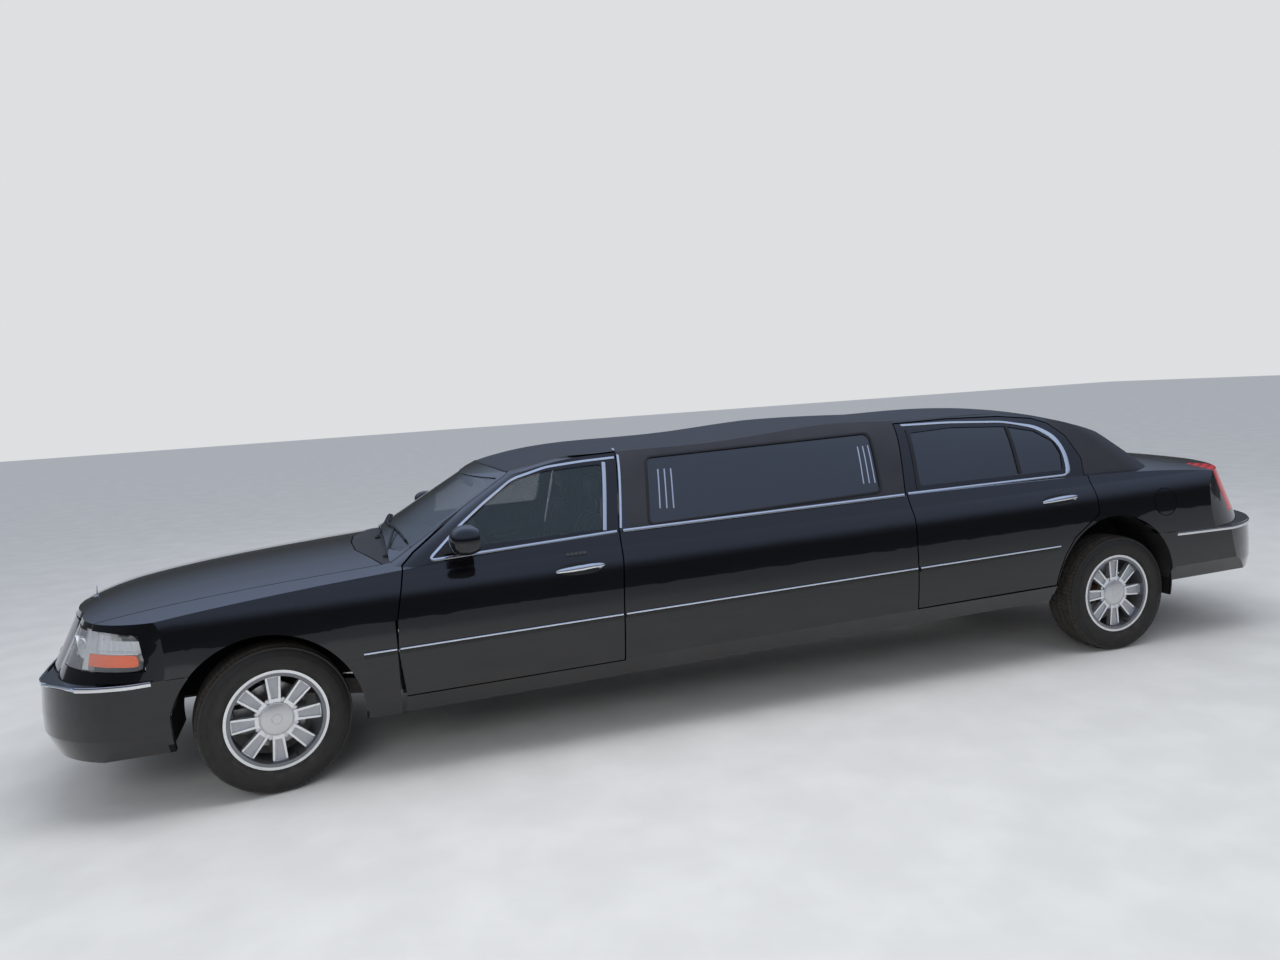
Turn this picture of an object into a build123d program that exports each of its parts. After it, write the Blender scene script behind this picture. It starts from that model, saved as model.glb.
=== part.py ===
from build123d import *
from math import cos, radians, sin
import os

# A stretch limousine in millimetres: +X is forward, +Y its left side, +Z up.
# The origin is on the floor, under the middle of the car's length and width.

# Driving dimensions
wheelbase = 4820.0
front_overhang = 1030.0
rear_overhang = 1430.0
body_half_width = 997.0
front_track = 1610.0
rear_track = 1666.0
tyre_radius = 347.0
tyre_width = 225.0
rim_lip_radius = 233.5
rim_width = 190.0
parked_steer = 11.5          # degrees to the left, as the front wheels stand
kingpin_inset = 70.0         # from the wheel's mid plane in to the steering axis
panel_gap = 7.0
skin = 25.0                  # outer layer of a door
hem = 14.0                   # how far a door's inner layer stays back from its edge
frame_skin = 12.0            # outer layer of a window frame
door_wall = 100.0            # whole thickness of a door below the belt
frame_wall = 45.0            # whole thickness of the roof and the window frames
wing_wall = 40.0             # fender and quarter panel walls
lid_thickness = 26.0
glass_thickness = 5.0
running_fit = 0.05           # radial clearance of a turning shaft in its hole
seat_gap = 0.3               # between a part and what it rests on, on another body

length = front_overhang + wheelbase + rear_overhang
front_axle = length / 2 - front_overhang
rear_axle = front_axle - wheelbase
nose = length / 2
tail = -length / 2


def fore(distance):
    """A station measured forward from the front axle."""
    return front_axle + distance


def aft(distance):
    """A station measured forward from the rear axle."""
    return rear_axle + distance


# Smaller driving sizes
flap_x, flap_z, flap_radius = aft(-325), 880.0, 80.0
flap_y = body_half_width - 40
flap_gap = 5.0
filler_radius = 11.0
bumper_wall, bumper_shelf = 42.0, 130.0  # thickness, and the top's depth from outside
plate_spacing_y, plate_spacing_z = 177.8, 120.6
plate_height, plate_hole_radius = 590.0, 3.2
plate_half_width, plate_recess_half, plate_recess = 158.0, 78.0, 16.0
screen_foot_half, screen_head_half = 705.0, 592.0
grille_bars, grille_bar, grille_rim, grille_bar_set = 13, 9.0, 20.0, 4.0
grille_half = [(290, 640), (300, 838)]
lamp_depth, lamp_gap, lamp_inner = 48.0, 1.0, 600.0
sheet = 6.0                  # pressed sheet, as the wheelhouses
room_gap = 18.0              # from the doors' inner face to what is fixed in the cabin
seal_depth, seal_overlap = 14.0, 40.0    # the flange that a door closes on
rail_inner, rail_width = 400.0, 90.0
rail_low, rail_top = 285.0, 371.7
cross_low, cross_top = 290.0, 368.0
kick_low, kick_top = 475.0, 561.7
floor_low, floor_top = 372.0, 392.0
engine_low = 420.3
trunk_low, trunk_top = 562.0, 582.0
shaft_height, shaft_radius = 330.0, 30.0
exhaust_radius, tailpipe_bore = 28.0, 25.0
hub_face, spindle_radius = 52.0, 22.0
spokes, spoke_root, spoke_tip = 8, 48.0, 70.0
spoke_face, spoke_depth, spoke_recess = 72.0, 30.0, 6.0
cap_radius = 42.0
bolt_circle, bolt_hole_radius = 114.3, 7.0
ball_pin_radius, ball_height = 11.0, 130.0
hub_radius, hub_depth = 80.0, 34.0
disc_radius, disc_width, hat_radius = 152.0, 24.0, 78.0
groove_places, groove_depth = (-50, -18, 18, 50), 7.0
window_corner, stretch_corner = 20.0, 35.0
hood_side, hood_front_low = 745.0, 838.0
ledge_low, ledge_top = 845.0, 859.0
lid_half_width, lid_low = 700.0, 735.0
lid_front = aft(-620)
front_arch_inner, rear_arch_inner = 505.0, 640.0
arch_to_door = 11.0          # from the rear arch's edge out to the rear door
liner_low = 300.0            # how far down the wheelhouses reach at the bumpers
far_side = 1200.0            # outside everything

# Body side, half width and height at mid length, from the sill to above the belt
sill = (body_half_width - 67, 335)
crease = (body_half_width - 12, 430)
flank = (body_half_width, 660)
waist = (body_half_width - 19, 880)
shoulder_bulge = (body_half_width - 39, 945)
shoulder = (body_half_width - 72, 990)
belt = (body_half_width - 117, 1065)
side_top = (body_half_width - 197, 1300)
wedge = 0.0165               # rise of the body side towards the tail

# Hood, belt and trunk line: station, height on the centre line, fall at 900 mm out
crown_at = 900.0
deck_rows = [
    (fore(1100), 755, 60),
    (fore(930), 850, 62),
    (fore(610), 925, 60),
    (fore(100), 980, 55),
    (fore(-450), 1018, 50),
    (fore(-1600), 1085, 50),
    (aft(320), 1125, 50),
    (aft(-380), 1143, 80),
    (aft(-1050), 1078, 75),
    (aft(-1480), 1030, 80),
]

# Roof line: station, height on the centre line, fall at 650 mm out
roof_crown_at = 650.0
roof_rows = [
    (fore(-600), 1250, 25),
    (fore(-1200), 1392, 28),
    (fore(-1500), 1455, 30),
    (fore(-1800), 1476, 32),
    (fore(-2640), 1500, 34),
    (aft(1320), 1514, 34),
    (aft(670), 1512, 34),
    (aft(290), 1476, 45),
    (aft(100), 1441, 58),
    (aft(-80), 1410, 85),
    (aft(-880), 1140, 90),
]

# Glasshouse in plan: height, half width, then for the screen: centre station, bow,
# corner half width and pillar station, then the same for the rear window
house_rows = [
    (850, 915, fore(-194), 175, 780, fore(-561), aft(-923), 135, 630, aft(-369)),
    (950, 905, fore(-369), 162, 740, fore(-700), aft(-780), 130, 600, aft(-280)),
    (1230, 800, fore(-859), 130, 650, fore(-1090), aft(-380), 120, 560, aft(-30)),
    (1400, 712, fore(-1156), 115, 585, fore(-1340), aft(-135), 110, 530, aft(200)),
    (1510, 600, fore(-1348), 105, 520, fore(-1500), aft(30), 110, 480, aft(380)),
]

# Wheel arches: radius and height of centre
front_arch_radius = 422.0
front_arch_shift = -10.0
rear_arch_radius = 432.0
rear_arch_shift = 55.0
rear_arch_height = 400.0
axle_height = tyre_radius

# Side view outlines, station and height
front_door_outline = [
    (fore(-618), 397), (fore(-598), 610), (fore(-605), 755), (fore(-655), 990),
    (fore(-712), 1040), (fore(-1215), 1387), (fore(-1430), 1424), (fore(-1790), 1436),
    (fore(-1728), 1022), (fore(-1700), 700), (fore(-1688), 412),
]
front_window_outline = [
    (fore(-800), 1048), (fore(-1090), 1256), (fore(-1245), 1343), (fore(-1400), 1374),
    (fore(-1705), 1386), (fore(-1650), 1062),
]
rear_door_outline = [
    (aft(1421), 452), (aft(1411), 811), (aft(1397), 1070), (aft(1330), 1462),
    (aft(970), 1466), (aft(620), 1456), (aft(400), 1430), (aft(305), 1396), (aft(215), 1315),
    (aft(155), 1179), (aft(175), 1043), (aft(173), 861), (aft(359), 737),
    (aft(430), 645), (aft(476), 537), (aft(492), 470),
]
rear_window_outline = [
    (aft(1290), 1113), (aft(1255), 1408), (aft(975), 1420), (aft(606), 1400),
    (aft(420), 1360), (aft(310), 1290), (aft(285), 1215), (aft(305), 1120),
]
stretch_window_outline = [
    (fore(-1905), 1068), (fore(-1955), 1395), (aft(1525), 1424), (aft(1550), 1110),
]
lamp_outline = [
    (fore(470), 672), (fore(497), 829), (fore(640), 838), (nose + 60, 838), (nose + 60, 672),
]
tail_lamp_outline = [
    (aft(-742), 1062), (aft(-775), 985), (aft(-845), 850), (aft(-890), 765),
    (tail - 60, 765), (tail - 60, 1060),
]
front_bumper_top = [(fore(300), 631), (fore(420), 629), (nose + 60, 596)]
rear_bumper_top = [(aft(-300), 694), (aft(-420), 694), (tail - 60, 686)]

# Bumpers: height, and how far the ring stands back from the car's end
front_bumper_rows = [(285, 48), (380, 0), (470, 0), (640, 12)]
rear_bumper_rows = [(362, 48), (455, 0), (545, 0), (700, 12)]

# How far in a door reaches, by distance off the centre line and height
door_reach = [
    (600, 200), (600, 960), (752, 1030), (640, 1400), (560, 1500), (1190, 1500), (1190, 200),
]

# What the opening doors' inner corners need at the dashboard's ends, half width and height
dash_end = [(800, 900), (700, 1000), (700, 1100), (far_side, 1100), (far_side, 900)]

# The hood's rear edge in plan
hood_outline = [(fore(-560), hood_side), (fore(-445), 300), (fore(-430), 0)]

# Cross members of the frame: station, lower and upper height
cross_members = [
    (nose - 140, 410, 490), (fore(-30), 395, 420), (fore(-700), cross_low, cross_top),
    (fore(-1700), cross_low, cross_top), (fore(-2500), cross_low, cross_top),
    (aft(1500), cross_low, cross_top), (aft(620), cross_low, cross_top), (aft(-1200), 480, 555),
]

# Mirror housing: station, inner and outer side, low and high edge, corner radius
mirror_rows = [
    (fore(-1025), 935, 1135, 1030, 1182, 45), (fore(-930), 930, 1130, 1032, 1186, 55),
    (fore(-862), 955, 1090, 1055, 1150, 40),
]


# Helpers

def loop(start, *legs):
    """A closed face. A leg of one point is a line, a leg of two is an arc through the first."""
    edges, here = [], start
    for leg in legs:
        end = leg[-1]
        edges.append(Line(here, end) if len(leg) == 1 else ThreePointArc(here, leg[0], end))
        here = end
    return make_face(edges)


def prism(points, plane, depth, grow=0.0, corner=0.0):
    """A flat outline drawn on a plane and pushed along its normal."""
    flat = make_face(Polyline(*points, close=True))
    if corner:
        flat = fillet(flat.vertices(), corner)
    if grow:
        flat = offset(flat, grow, kind=Kind.INTERSECTION)
    return extrude(plane * flat, depth, dir=plane.z_dir)


def side_prism(points, low, high, grow=0.0, corner=0.0):
    """An outline of station and height, from one distance off the centre line to another."""
    plane = Plane((0, high, 0), x_dir=(1, 0, 0), z_dir=(0, -1, 0))
    return prism(points, plane, high - low, grow, corner)


def front_prism(points, low, high, grow=0.0, corner=0.0):
    """An outline of width and height, from one station to another."""
    plane = Plane((low, 0, 0), x_dir=(0, 1, 0), z_dir=(1, 0, 0))
    return prism(points, plane, high - low, grow, corner)


def plan_prism(points, low, high, grow=0.0, corner=0.0):
    """An outline seen from above, from one height to another."""
    return prism(points, Plane((0, 0, low)), high - low, grow, corner)


def block(low, high):
    """A box between two corners."""
    size = [b - a for a, b in zip(low, high)]
    return Pos(*[(a + b) / 2 for a, b in zip(low, high)]) * Box(*size)


def rod(centre, radius, run, axis):
    """A cylinder about its centre, along X, Y or Z."""
    turn = {"x": Rot(0, 90, 0), "y": Rot(90, 0, 0), "z": Rot(0, 0, 0)}[axis]
    return Pos(*centre) * turn * Cylinder(radius, run)


def both_sides(shape):
    """The shape and its mirror image across the car."""
    return [shape, mirror(shape, about=Plane.XZ)]


def mirrored_outline(points):
    """A half outline of width and height, closed with its mirror image."""
    return points + [(-y, z) for y, z in reversed(points)]


# Body surfaces

def plan_ring(height, front, bow, y1, side, width, rear, rear_bow, y2, rear_side):
    """A level section: bowed ends, rounded corners and straight sides."""
    c = cos(radians(45))

    def corner(begin, y, end):
        return (begin + (end - begin) * c, y + (width - y) * c, height)

    def flip(p):
        return (p[0], -p[1], p[2])

    a, t = front - bow, rear + rear_bow
    f, s = (a, y1, height), (side, width, height)
    q, r = (rear_side, width, height), (t, y2, height)
    fm, rm = corner(side, y1, a), corner(rear_side, y2, t)
    return loop(flip(f), ((front, 0, height), f), (fm, s), (q,), (rm, r), ((rear, 0, height), flip(r)),
                (flip(rm), flip(q)), (flip(s),), (flip(fm), flip(f)))


def side_section(station, inset):
    """The body's cross-section at a station, moved in by a wall."""
    lift = -wedge * station
    rows = [sill, crease, flank, waist, shoulder_bulge, shoulder, belt, side_top]
    right = [(station, y - inset, z + lift) for y, z in rows]
    left = [(x, -y, z) for x, y, z in right]
    return loop(left[0], (right[0],), (right[1],), (right[2], right[3]), (right[4], right[5]),
                (right[6],), (right[7],), (left[7],), (left[6],), (left[5],),
                (left[4], left[3]), (left[2], left[1]), (left[0],))


def crowned_top(rows, crown, inset, floor):
    """Everything under a line of crowned arcs."""
    wide, sections = 1100.0, []
    for x, z, fall in rows:
        top = z - inset
        edge = top - fall * (wide / crown) ** 2
        sections.append(loop((x, -wide, floor), ((x, wide, floor),), ((x, wide, edge),),
                             ((x, 0, top), (x, -wide, edge)), ((x, -wide, floor),)))
    return loft(sections)


def body_sides(inset):
    """The body side from end to end."""
    return loft([side_section(nose + 80, inset), side_section(tail - 80, inset)], ruled=True)


def lower_body(inset):
    """The body below the glass, moved in by a wall."""
    width = body_half_width + 5 - inset
    low = plan_ring(250, nose + 183 - inset, 95, 500, fore(300), width,
                    tail - 210 + inset, 70, 480, aft(-530))
    high = plan_ring(1250, nose - 325 - inset, 95, 450, fore(150), width,
                     tail + 410 + inset, 80, 450, aft(-400))
    return body_sides(inset) & loft([low, high], ruled=True) & crowned_top(deck_rows, crown_at, inset, 100)


def glasshouse(inset):
    """The body above the belt, moved in by a wall."""
    rings = []
    for z, w, x0, bow, y1, pillar, xr, rear_bow, y2, rear_pillar in house_rows:
        rings.append(plan_ring(z, x0 - inset * 1.6, bow, y1 - inset / 2, pillar - inset, w - inset,
                               xr + inset * 1.5, rear_bow, y2 - inset / 2, rear_pillar + inset))
    return loft(rings) & crowned_top(roof_rows, roof_crown_at, inset, 700)


def bumper_body(inset, rows):
    """The band that a bumper is cut from, by height and how far it stands back."""
    width = body_half_width + 5 - inset
    rings = []
    for z, back in rows:
        rings.append(plan_ring(z, nose - back - inset, 30, 550, fore(330), width,
                               tail + back + inset, 45, 500, aft(-530)))
    return loft(rings, ruled=True)


def largest(shape):
    """The largest solid of a result, without slivers."""
    return max(shape.solids(), key=lambda s: s.volume)


lower_outer = lower_body(0)
lower_inner = lower_body(door_wall)
lower_wing = lower_body(wing_wall)
lower_lid = lower_body(lid_thickness)
lower_lamp = lower_body(lamp_depth)
lower_rest = lower_body(-seat_gap)
cabin_room = lower_body(door_wall + room_gap)
cabin_clear = cabin_room + glasshouse(frame_wall + room_gap)
door_seat = lower_body(door_wall + seat_gap)
seal_inner = lower_body(door_wall + seal_depth)
lid_seat = lower_body(lid_thickness + seat_gap) - lower_wing
body_outline, body_outline_inner = body_sides(0), body_sides(bumper_wall)
house_outer = glasshouse(0)
house_inner = glasshouse(frame_wall)
glass_band = glasshouse(frame_skin / 2) - glasshouse(frame_skin / 2 + glass_thickness)
outer = lower_outer + house_outer
under_skin = lower_body(skin) + glasshouse(frame_skin)
inner = lower_inner + house_inner
side_inner = seal_inner + house_inner


def arch_cut(arch, inner_y, grow=0.0):
    """The space that a wheel arch opens, on the left."""
    x, z, radius = arch
    depth = far_side - inner_y
    return rod((x, inner_y + depth / 2, z), radius + grow, depth, "y")


front_arch = (fore(front_arch_shift), axle_height, front_arch_radius)
rear_arch = (aft(rear_arch_shift), rear_arch_height, rear_arch_radius)


# Doors and their glass

def door_space(outline, grow):
    """What a door takes up on the left, kept out of the screen pillars."""
    reach = front_prism(door_reach, tail, nose, grow)
    return side_prism(outline, 300, far_side, grow) & reach


def door_panel(outline, window, rear):
    """A left door: an outer layer and a smaller inner layer, with its window cut."""
    whole, less = door_space(outline, 0), door_space(outline, -hem)
    panel = ((whole & outer) - under_skin) + ((less & under_skin) - inner)
    panel -= side_prism(window, 300, far_side, corner=window_corner)
    if rear:
        panel -= arch_cut(rear_arch, rear_arch_inner, arch_to_door)
    return largest(panel)


def pane(outline, corner):
    """Glass set a little under the outer face, filling a side window."""
    return side_prism(outline, 300, far_side, corner=corner) & glass_band


# Body panels that stay

def liner(arch, inner_y, outer_y, low_ahead, low_behind):
    """A wheelhouse, its round open below a height ahead and behind, its inner wall below both."""
    x, z, radius = arch
    depth = outer_y - inner_y
    ring = rod((x, inner_y + depth / 2, z), radius + sheet, depth, "y")
    ring -= rod((x, inner_y + depth / 2 + sheet, z), radius, depth, "y")
    ahead = block((x, 0, z - 900), (x + 900, far_side, low_ahead))
    behind = block((x - 900, 0, z - 900), (x, far_side, low_behind))
    wall = block((x - 900, 0, z - 900), (x + 900, inner_y + sheet, max(low_ahead, low_behind)))
    return ring - [ahead, behind, wall]


def hood_space(grow):
    """The plan of the hood, pushed through the nose."""
    ahead = nose + 100
    points = [(ahead, hood_side)] + hood_outline + [(x, -y) for x, y in reversed(hood_outline[:-1])]
    return plan_prism(points + [(ahead, -hood_side)], 700, 1300, grow)


def nose_face(gap):
    """What is under the hood's front edge: the face that carries grille and lamps."""
    return block((fore(450), -far_side, 400), (nose + 200, far_side, hood_front_low + gap))


def below(line, floor):
    """Everything under a side view line."""
    return side_prism(line + [(line[-1][0], floor), (line[0][0], floor)], -far_side, far_side)


def hood_panel():
    return (hood_space(0) & lower_outer) - lower_lid - nose_face(panel_gap)


def fender():
    """The left fender, with its half of the nose panel, wheelhouse and inner wall."""
    wall = (block((fore(-655), 300, 250), (nose + 50, far_side, 1200)) & lower_outer) - lower_wing
    wall -= door_space(front_door_outline, panel_gap)
    wall -= block((fore(-700), 0, 0), (fore(-598) + panel_gap, far_side, 760))
    wall -= block((fore(-760), 0, 800), (fore(-430), hood_side, 1300))
    wall -= hood_space(panel_gap) - nose_face(0)
    wall -= below(front_bumper_top, 100)
    wall -= arch_cut(front_arch, 300)
    wall -= side_prism(lamp_outline, lamp_inner - lamp_gap, far_side, grow=lamp_gap)
    inside, rim = front_arch_inner - sheet, hood_side + 30
    ledge = block((fore(-560), front_arch_inner, ledge_low), (fore(450), rim, ledge_top))
    house = liner(front_arch, inside, body_half_width - 30, liner_low, 420)
    apron = block((fore(-560), inside, 500), (fore(390), front_arch_inner, ledge_top))
    stiff = block((fore(-560), hood_side + panel_gap, ledge_low), (fore(450), rim, 1000)) & lower_outer
    arms = block((fore(-135), 480, 300), (fore(135), 520, axle_height + 148))
    gutter = block((fore(-500), hood_side - 30, 700), (fore(450), rim, 1300)) & lid_seat
    behind_bumper = block((fore(390), 870, 0), (nose, far_side, 625))
    return largest(wall + [ledge, house, apron, stiff, gutter] - [arms, behind_bumper])


def lid_space(grow):
    """Where the trunk lid lies."""
    side = lid_half_width + grow
    return block((tail - 100, -side, lid_low - grow), (lid_front + grow, side, 1300))


def quarter(left):
    """A quarter panel, from the rear door round to the middle of the tail."""
    wall = (block((tail - 50, 0, 250), (aft(480), far_side, 1300)) & lower_outer) - lower_wing
    wall -= door_space(rear_door_outline, panel_gap)
    wall -= house_inner
    wall -= below(rear_bumper_top, 100)
    wall -= lid_space(panel_gap)
    wall -= side_prism(tail_lamp_outline, lid_half_width, far_side, grow=lamp_gap)
    wall -= arch_cut(rear_arch, 300)
    gutter = block((aft(-725), lid_half_width - 30, 700), (aft(-630), lid_half_width + 30, 1300)) & lid_seat
    house = liner(rear_arch, rear_arch_inner - sheet, body_half_width - 30, 470, liner_low)
    wall = largest(wall) + [house, gutter]
    if left:
        hole = rod((flap_x, flap_y, flap_z), flap_radius + flap_gap, 200, "y")
        bowl = rod((flap_x, flap_y - 75, flap_z), flap_radius + 10, 110, "y")
        bowl -= rod((flap_x, flap_y - 5, flap_z), flap_radius + flap_gap, 110, "y")
        neck = rod((flap_x, flap_y - 80, flap_z), filler_radius + 6, 60, "y")
        ring = rod((flap_x, flap_y, flap_z), flap_radius + 10, 200, "y") & lid_seat
        ring -= rod((flap_x, flap_y, flap_z), flap_radius - 12, 200, "y")
        wall = (wall - hole) + [bowl, neck, ring]
        wall -= rod((flap_x, flap_y - 90, flap_z), filler_radius, 200, "y")
    return largest(wall)


def trunk_lid_panel():
    return (lid_space(0) & lower_outer) - lower_lid


def fuel_flap_panel():
    disc = rod((flap_x, flap_y, flap_z), flap_radius, 200, "y")
    return (disc & lower_outer) - lower_lid


def roof_shell():
    """Roof and pillars in one, standing on the body, with every opening above the belt."""
    whole = (house_outer - house_inner) - lower_rest
    cuts = [screen_space(), rear_screen_space()]
    for outline in (front_door_outline, rear_door_outline):
        cuts += both_sides(door_space(outline, panel_gap))
    cuts += both_sides(side_prism(stretch_window_outline, 300, far_side, corner=stretch_corner))
    return largest(whole - cuts)


def screen_space():
    half = [(screen_foot_half, 1036), (screen_head_half, 1350)]
    return front_prism(mirrored_outline(half), fore(-1320), fore(-350), corner=25)


def rear_screen_space():
    half = [(590, 1172), (515, 1408)]
    return front_prism(mirrored_outline(half), aft(-900), aft(-60), corner=40)


def fixed_panes():
    """Windscreen, rear window and both stretch windows."""
    side = pane(stretch_window_outline, stretch_corner)
    return [screen_space() & glass_band, rear_screen_space() & glass_band] + both_sides(side)


def stretch_side():
    """The left side between the doors, with the rocker that runs under them."""
    g = panel_gap
    points = [
        (fore(-598), 200), (fore(-618), 397 - g), (fore(-1688) - g, 412 - g), (fore(-1700) - g, 700),
        (fore(-1728) - g, 1022), (fore(-1755) - g, 1200), (aft(1375) + g, 1200), (aft(1397) + g, 1070),
        (aft(1411) + g, 811), (aft(1421) + g, 452 - g), (aft(470), 468 - g), (aft(470), 200),
    ]
    side = (side_prism(points, 300, far_side) & lower_outer) - side_inner
    flange = side_prism(points, 300, far_side, grow=seal_overlap) & door_seat
    flange &= block((aft(480), 300, 200), (fore(-640), far_side, 940))
    side += flange - [side_inner, arch_cut(rear_arch, 300, sheet + seat_gap)]
    return largest(side - [arch_cut(rear_arch, 300), arch_cut(front_arch, 300)])


def bumper_cover(rows, top, keep, lift):
    """A bumper cover with a top shelf, open behind and below."""
    trimmed = [(x, z - 30) for x, z in top]
    whole = bumper_body(0, rows) & keep & body_outline & below(top, 100)
    low = [(rows[0][0] - lift, rows[0][1])] + rows[1:]
    hollow = bumper_body(bumper_wall, low) & body_outline_inner & below(trimmed, 100)
    return whole - [hollow, bumper_body(bumper_shelf, low)]


def front_bumper_cover():
    """The front cover, with its lower intake."""
    keep = block((fore(395), -far_side, 0), (nose + 100, far_side, 1000))
    cover = bumper_cover(front_bumper_rows, front_bumper_top, keep, 35)
    intake = front_prism(mirrored_outline([(380, 372), (360, 448)]), fore(700), nose + 60, corner=12)
    return largest(cover - intake)


def rear_bumper_cover():
    """The rear cover, with a flat recess for a plate and its four holes."""
    keep = block((tail - 100, -far_side, 0), (aft(-385), far_side, 1000))
    cover = bumper_cover(rear_bumper_rows, rear_bumper_top, keep, 32)
    low, high = plate_height - plate_recess_half, plate_height + plate_recess_half
    cuts = [block((tail - 50, -plate_half_width, low), (tail + plate_recess, plate_half_width, high))]
    for y in (-plate_spacing_y / 2, plate_spacing_y / 2):
        for z in (plate_height - plate_spacing_z / 2, plate_height + plate_spacing_z / 2):
            cuts.append(rod((tail, y, z), plate_hole_radius, 300, "x"))
    return largest(cover - cuts)


def grille_piece():
    """A chrome surround with upright bars, in the nose panel."""
    ahead, behind = nose + 40, fore(820)
    opening = mirrored_outline(grille_half)
    deep = (front_prism(opening, behind, ahead, corner=14) & lower_outer) - lower_wing
    hole = front_prism(opening, behind, ahead, grow=-grille_rim)
    pitch = (2 * grille_half[0][0] - 2 * grille_rim) / (grille_bars + 1)
    rows = []
    for i in range(grille_bars):
        y = -grille_half[0][0] + grille_rim + pitch * (i + 1)
        rows.append(block((behind, y - grille_bar / 2, 640), (ahead, y + grille_bar / 2, 838)))
    bars = front_prism(opening, behind, ahead, grow=-grille_rim / 2) & lower_body(grille_bar_set)
    bars = (bars - lower_lid) & rows
    return largest((deep - hole) + bars)


def lamp(outline, inner_y):
    return (side_prism(outline, inner_y, far_side) & lower_outer) - lower_lamp


# Structure under the body

def chassis():
    """Two long rails with cross members, kicked up over the rear axle."""
    top = [(nose - 80, 500), (fore(300), 500), (fore(-450), rail_top), (aft(560), rail_top),
           (aft(300), kick_top), (aft(-1270), kick_top)]
    low = [(aft(-1270), kick_low), (aft(260), kick_low), (aft(500), rail_low), (fore(-500), rail_low),
           (fore(250), 405), (nose - 80, 405)]
    rails = both_sides(side_prism(top + low, rail_inner, rail_inner + rail_width))
    half = rail_inner + 10
    cross = [block((x - 40, -half, z), (x + 40, half, z_top)) for x, z, z_top in cross_members]
    holes = rod((0, 0, shaft_height), shaft_radius + 5, 2 * length, "x")
    return (rails[0] + [rails[1], *cross]) - holes


def floor_body():
    """Floor, firewall, cowl, rear seat wall, parcel shelf and trunk floor."""
    step = [(fore(-606), floor_low), (fore(-606), floor_top), (aft(620), floor_top), (aft(620), trunk_top),
            (aft(500), trunk_top), (aft(500), trunk_low), (aft(600), trunk_low), (aft(600), floor_low)]
    pan = side_prism(step, -far_side, far_side) & cabin_room
    wide = rear_arch_inner - 10
    half_wall = [(815, floor_low), (865, 450), (865, 930)]
    wall = front_prism(mirrored_outline(half_wall), fore(-626), fore(-606))
    seat_wall = block((aft(170), -wide, trunk_low), (aft(190), wide, 1010))
    shelf = block((aft(-600), -wide, 990), (aft(190), wide, 1010))
    trunk = block((aft(-1250), -wide, trunk_low), (aft(505), wide, trunk_top))
    half = hood_side - 2
    cowl = (block((fore(-626), -half, 880), (fore(-430), half, 1200)) & lower_outer) - lower_lid
    cowl -= hood_space(panel_gap)
    riser = block((fore(-626), -half, 900), (fore(-606), half, 1100)) & lower_outer
    return largest(pan + [wall, seat_wall, shelf, trunk, cowl, riser])


def engine_block():
    return fillet(block((fore(-420), -280, engine_low), (fore(280), 280, 800)).edges().filter_by(Axis.X), 60)


def tank():
    low, high = (aft(-930), -370, 320), (aft(-260), 370, trunk_low - seat_gap)
    return fillet(block(low, high).edges().filter_by(Axis.Z), 60)


def exhaust_pipe():
    """One pipe with two mufflers and an open tailpipe."""
    z, y = cross_low - exhaust_radius - seat_gap, -300
    front, back = fore(-300), tail + 130
    pipe = rod(((front + back) / 2, y, z), exhaust_radius, front - back, "x")
    for x, run in ((fore(-1300), 480), (aft(1050), 560)):
        box = block((x - run / 2, y - 80, z - 55), (x + run / 2, y + 80, z + 25))
        pipe += fillet(box.edges().filter_by(Axis.X), 30)
    return pipe - rod((back, y, z), tailpipe_bore, 600, "x")


def propeller_shaft():
    front, back = fore(-450), aft(160) + seat_gap
    shaft = rod(((front + back) / 2, 0, shaft_height), shaft_radius, front - back, "x")
    joints = (fore(-480), fore(-2000), aft(1100), aft(192))
    return shaft + [rod((x, 0, shaft_height), shaft_radius + 8, 60, "x") for x in joints]


def rear_axle_beam():
    """Axle tube with its differential, springs and trailing arms, and a spindle at each end."""
    z, reach = axle_height, rear_track / 2 + hub_face - 40
    axle = rod((rear_axle, 0, z), 42, 2 * (rear_track / 2 - 110), "y")
    more = [rod((rear_axle, 0, z), spindle_radius, 2 * reach, "y"), Pos(rear_axle, 0, z) * Sphere(128),
            rod((aft(120), 0, shaft_height), 50, 80, "x")]
    high, rail_side = kick_low - seat_gap, rail_inner + rail_width + seat_gap
    spring = rod((rear_axle, rail_inner + rail_width / 2, (z + high) / 2), 45, high - z, "z")
    arm = block((rear_axle, 540, z - 25), (aft(560), 580, z + 15))
    link = block((aft(520), rail_side, z - 25), (aft(560), 580, z + 15))
    for piece in (spring, arm, link):
        more += both_sides(piece)
    return axle + more


# Wheels

def turned(points):
    """A solid of revolution about the wheel's own axis, from radius and offset."""
    flat = make_face(Polyline(*[(r, y) for r, y in points], close=True))
    return Rot(90, 0, 0) * revolve(Plane.XZ * flat, Axis.Z)


def tyre_solid():
    """A tyre with rounded shoulders and four grooves, about the wheel's axis."""
    half, w, r = tyre_width / 2, rim_width / 2, tyre_radius
    edges = [(217, -w + 9), (rim_lip_radius + 2, -w + 6), (285, -half), (r - 25, -half + 6),
             (r - 6, -half + 24), (r, -half + 46)]
    points = list(edges)
    for y in groove_places:
        points += [(r, y - 5), (r - groove_depth, y - 4), (r - groove_depth, y + 4), (r, y + 5)]
    return turned(points + [(r, -y) for r, y in reversed(edges)])


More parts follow.
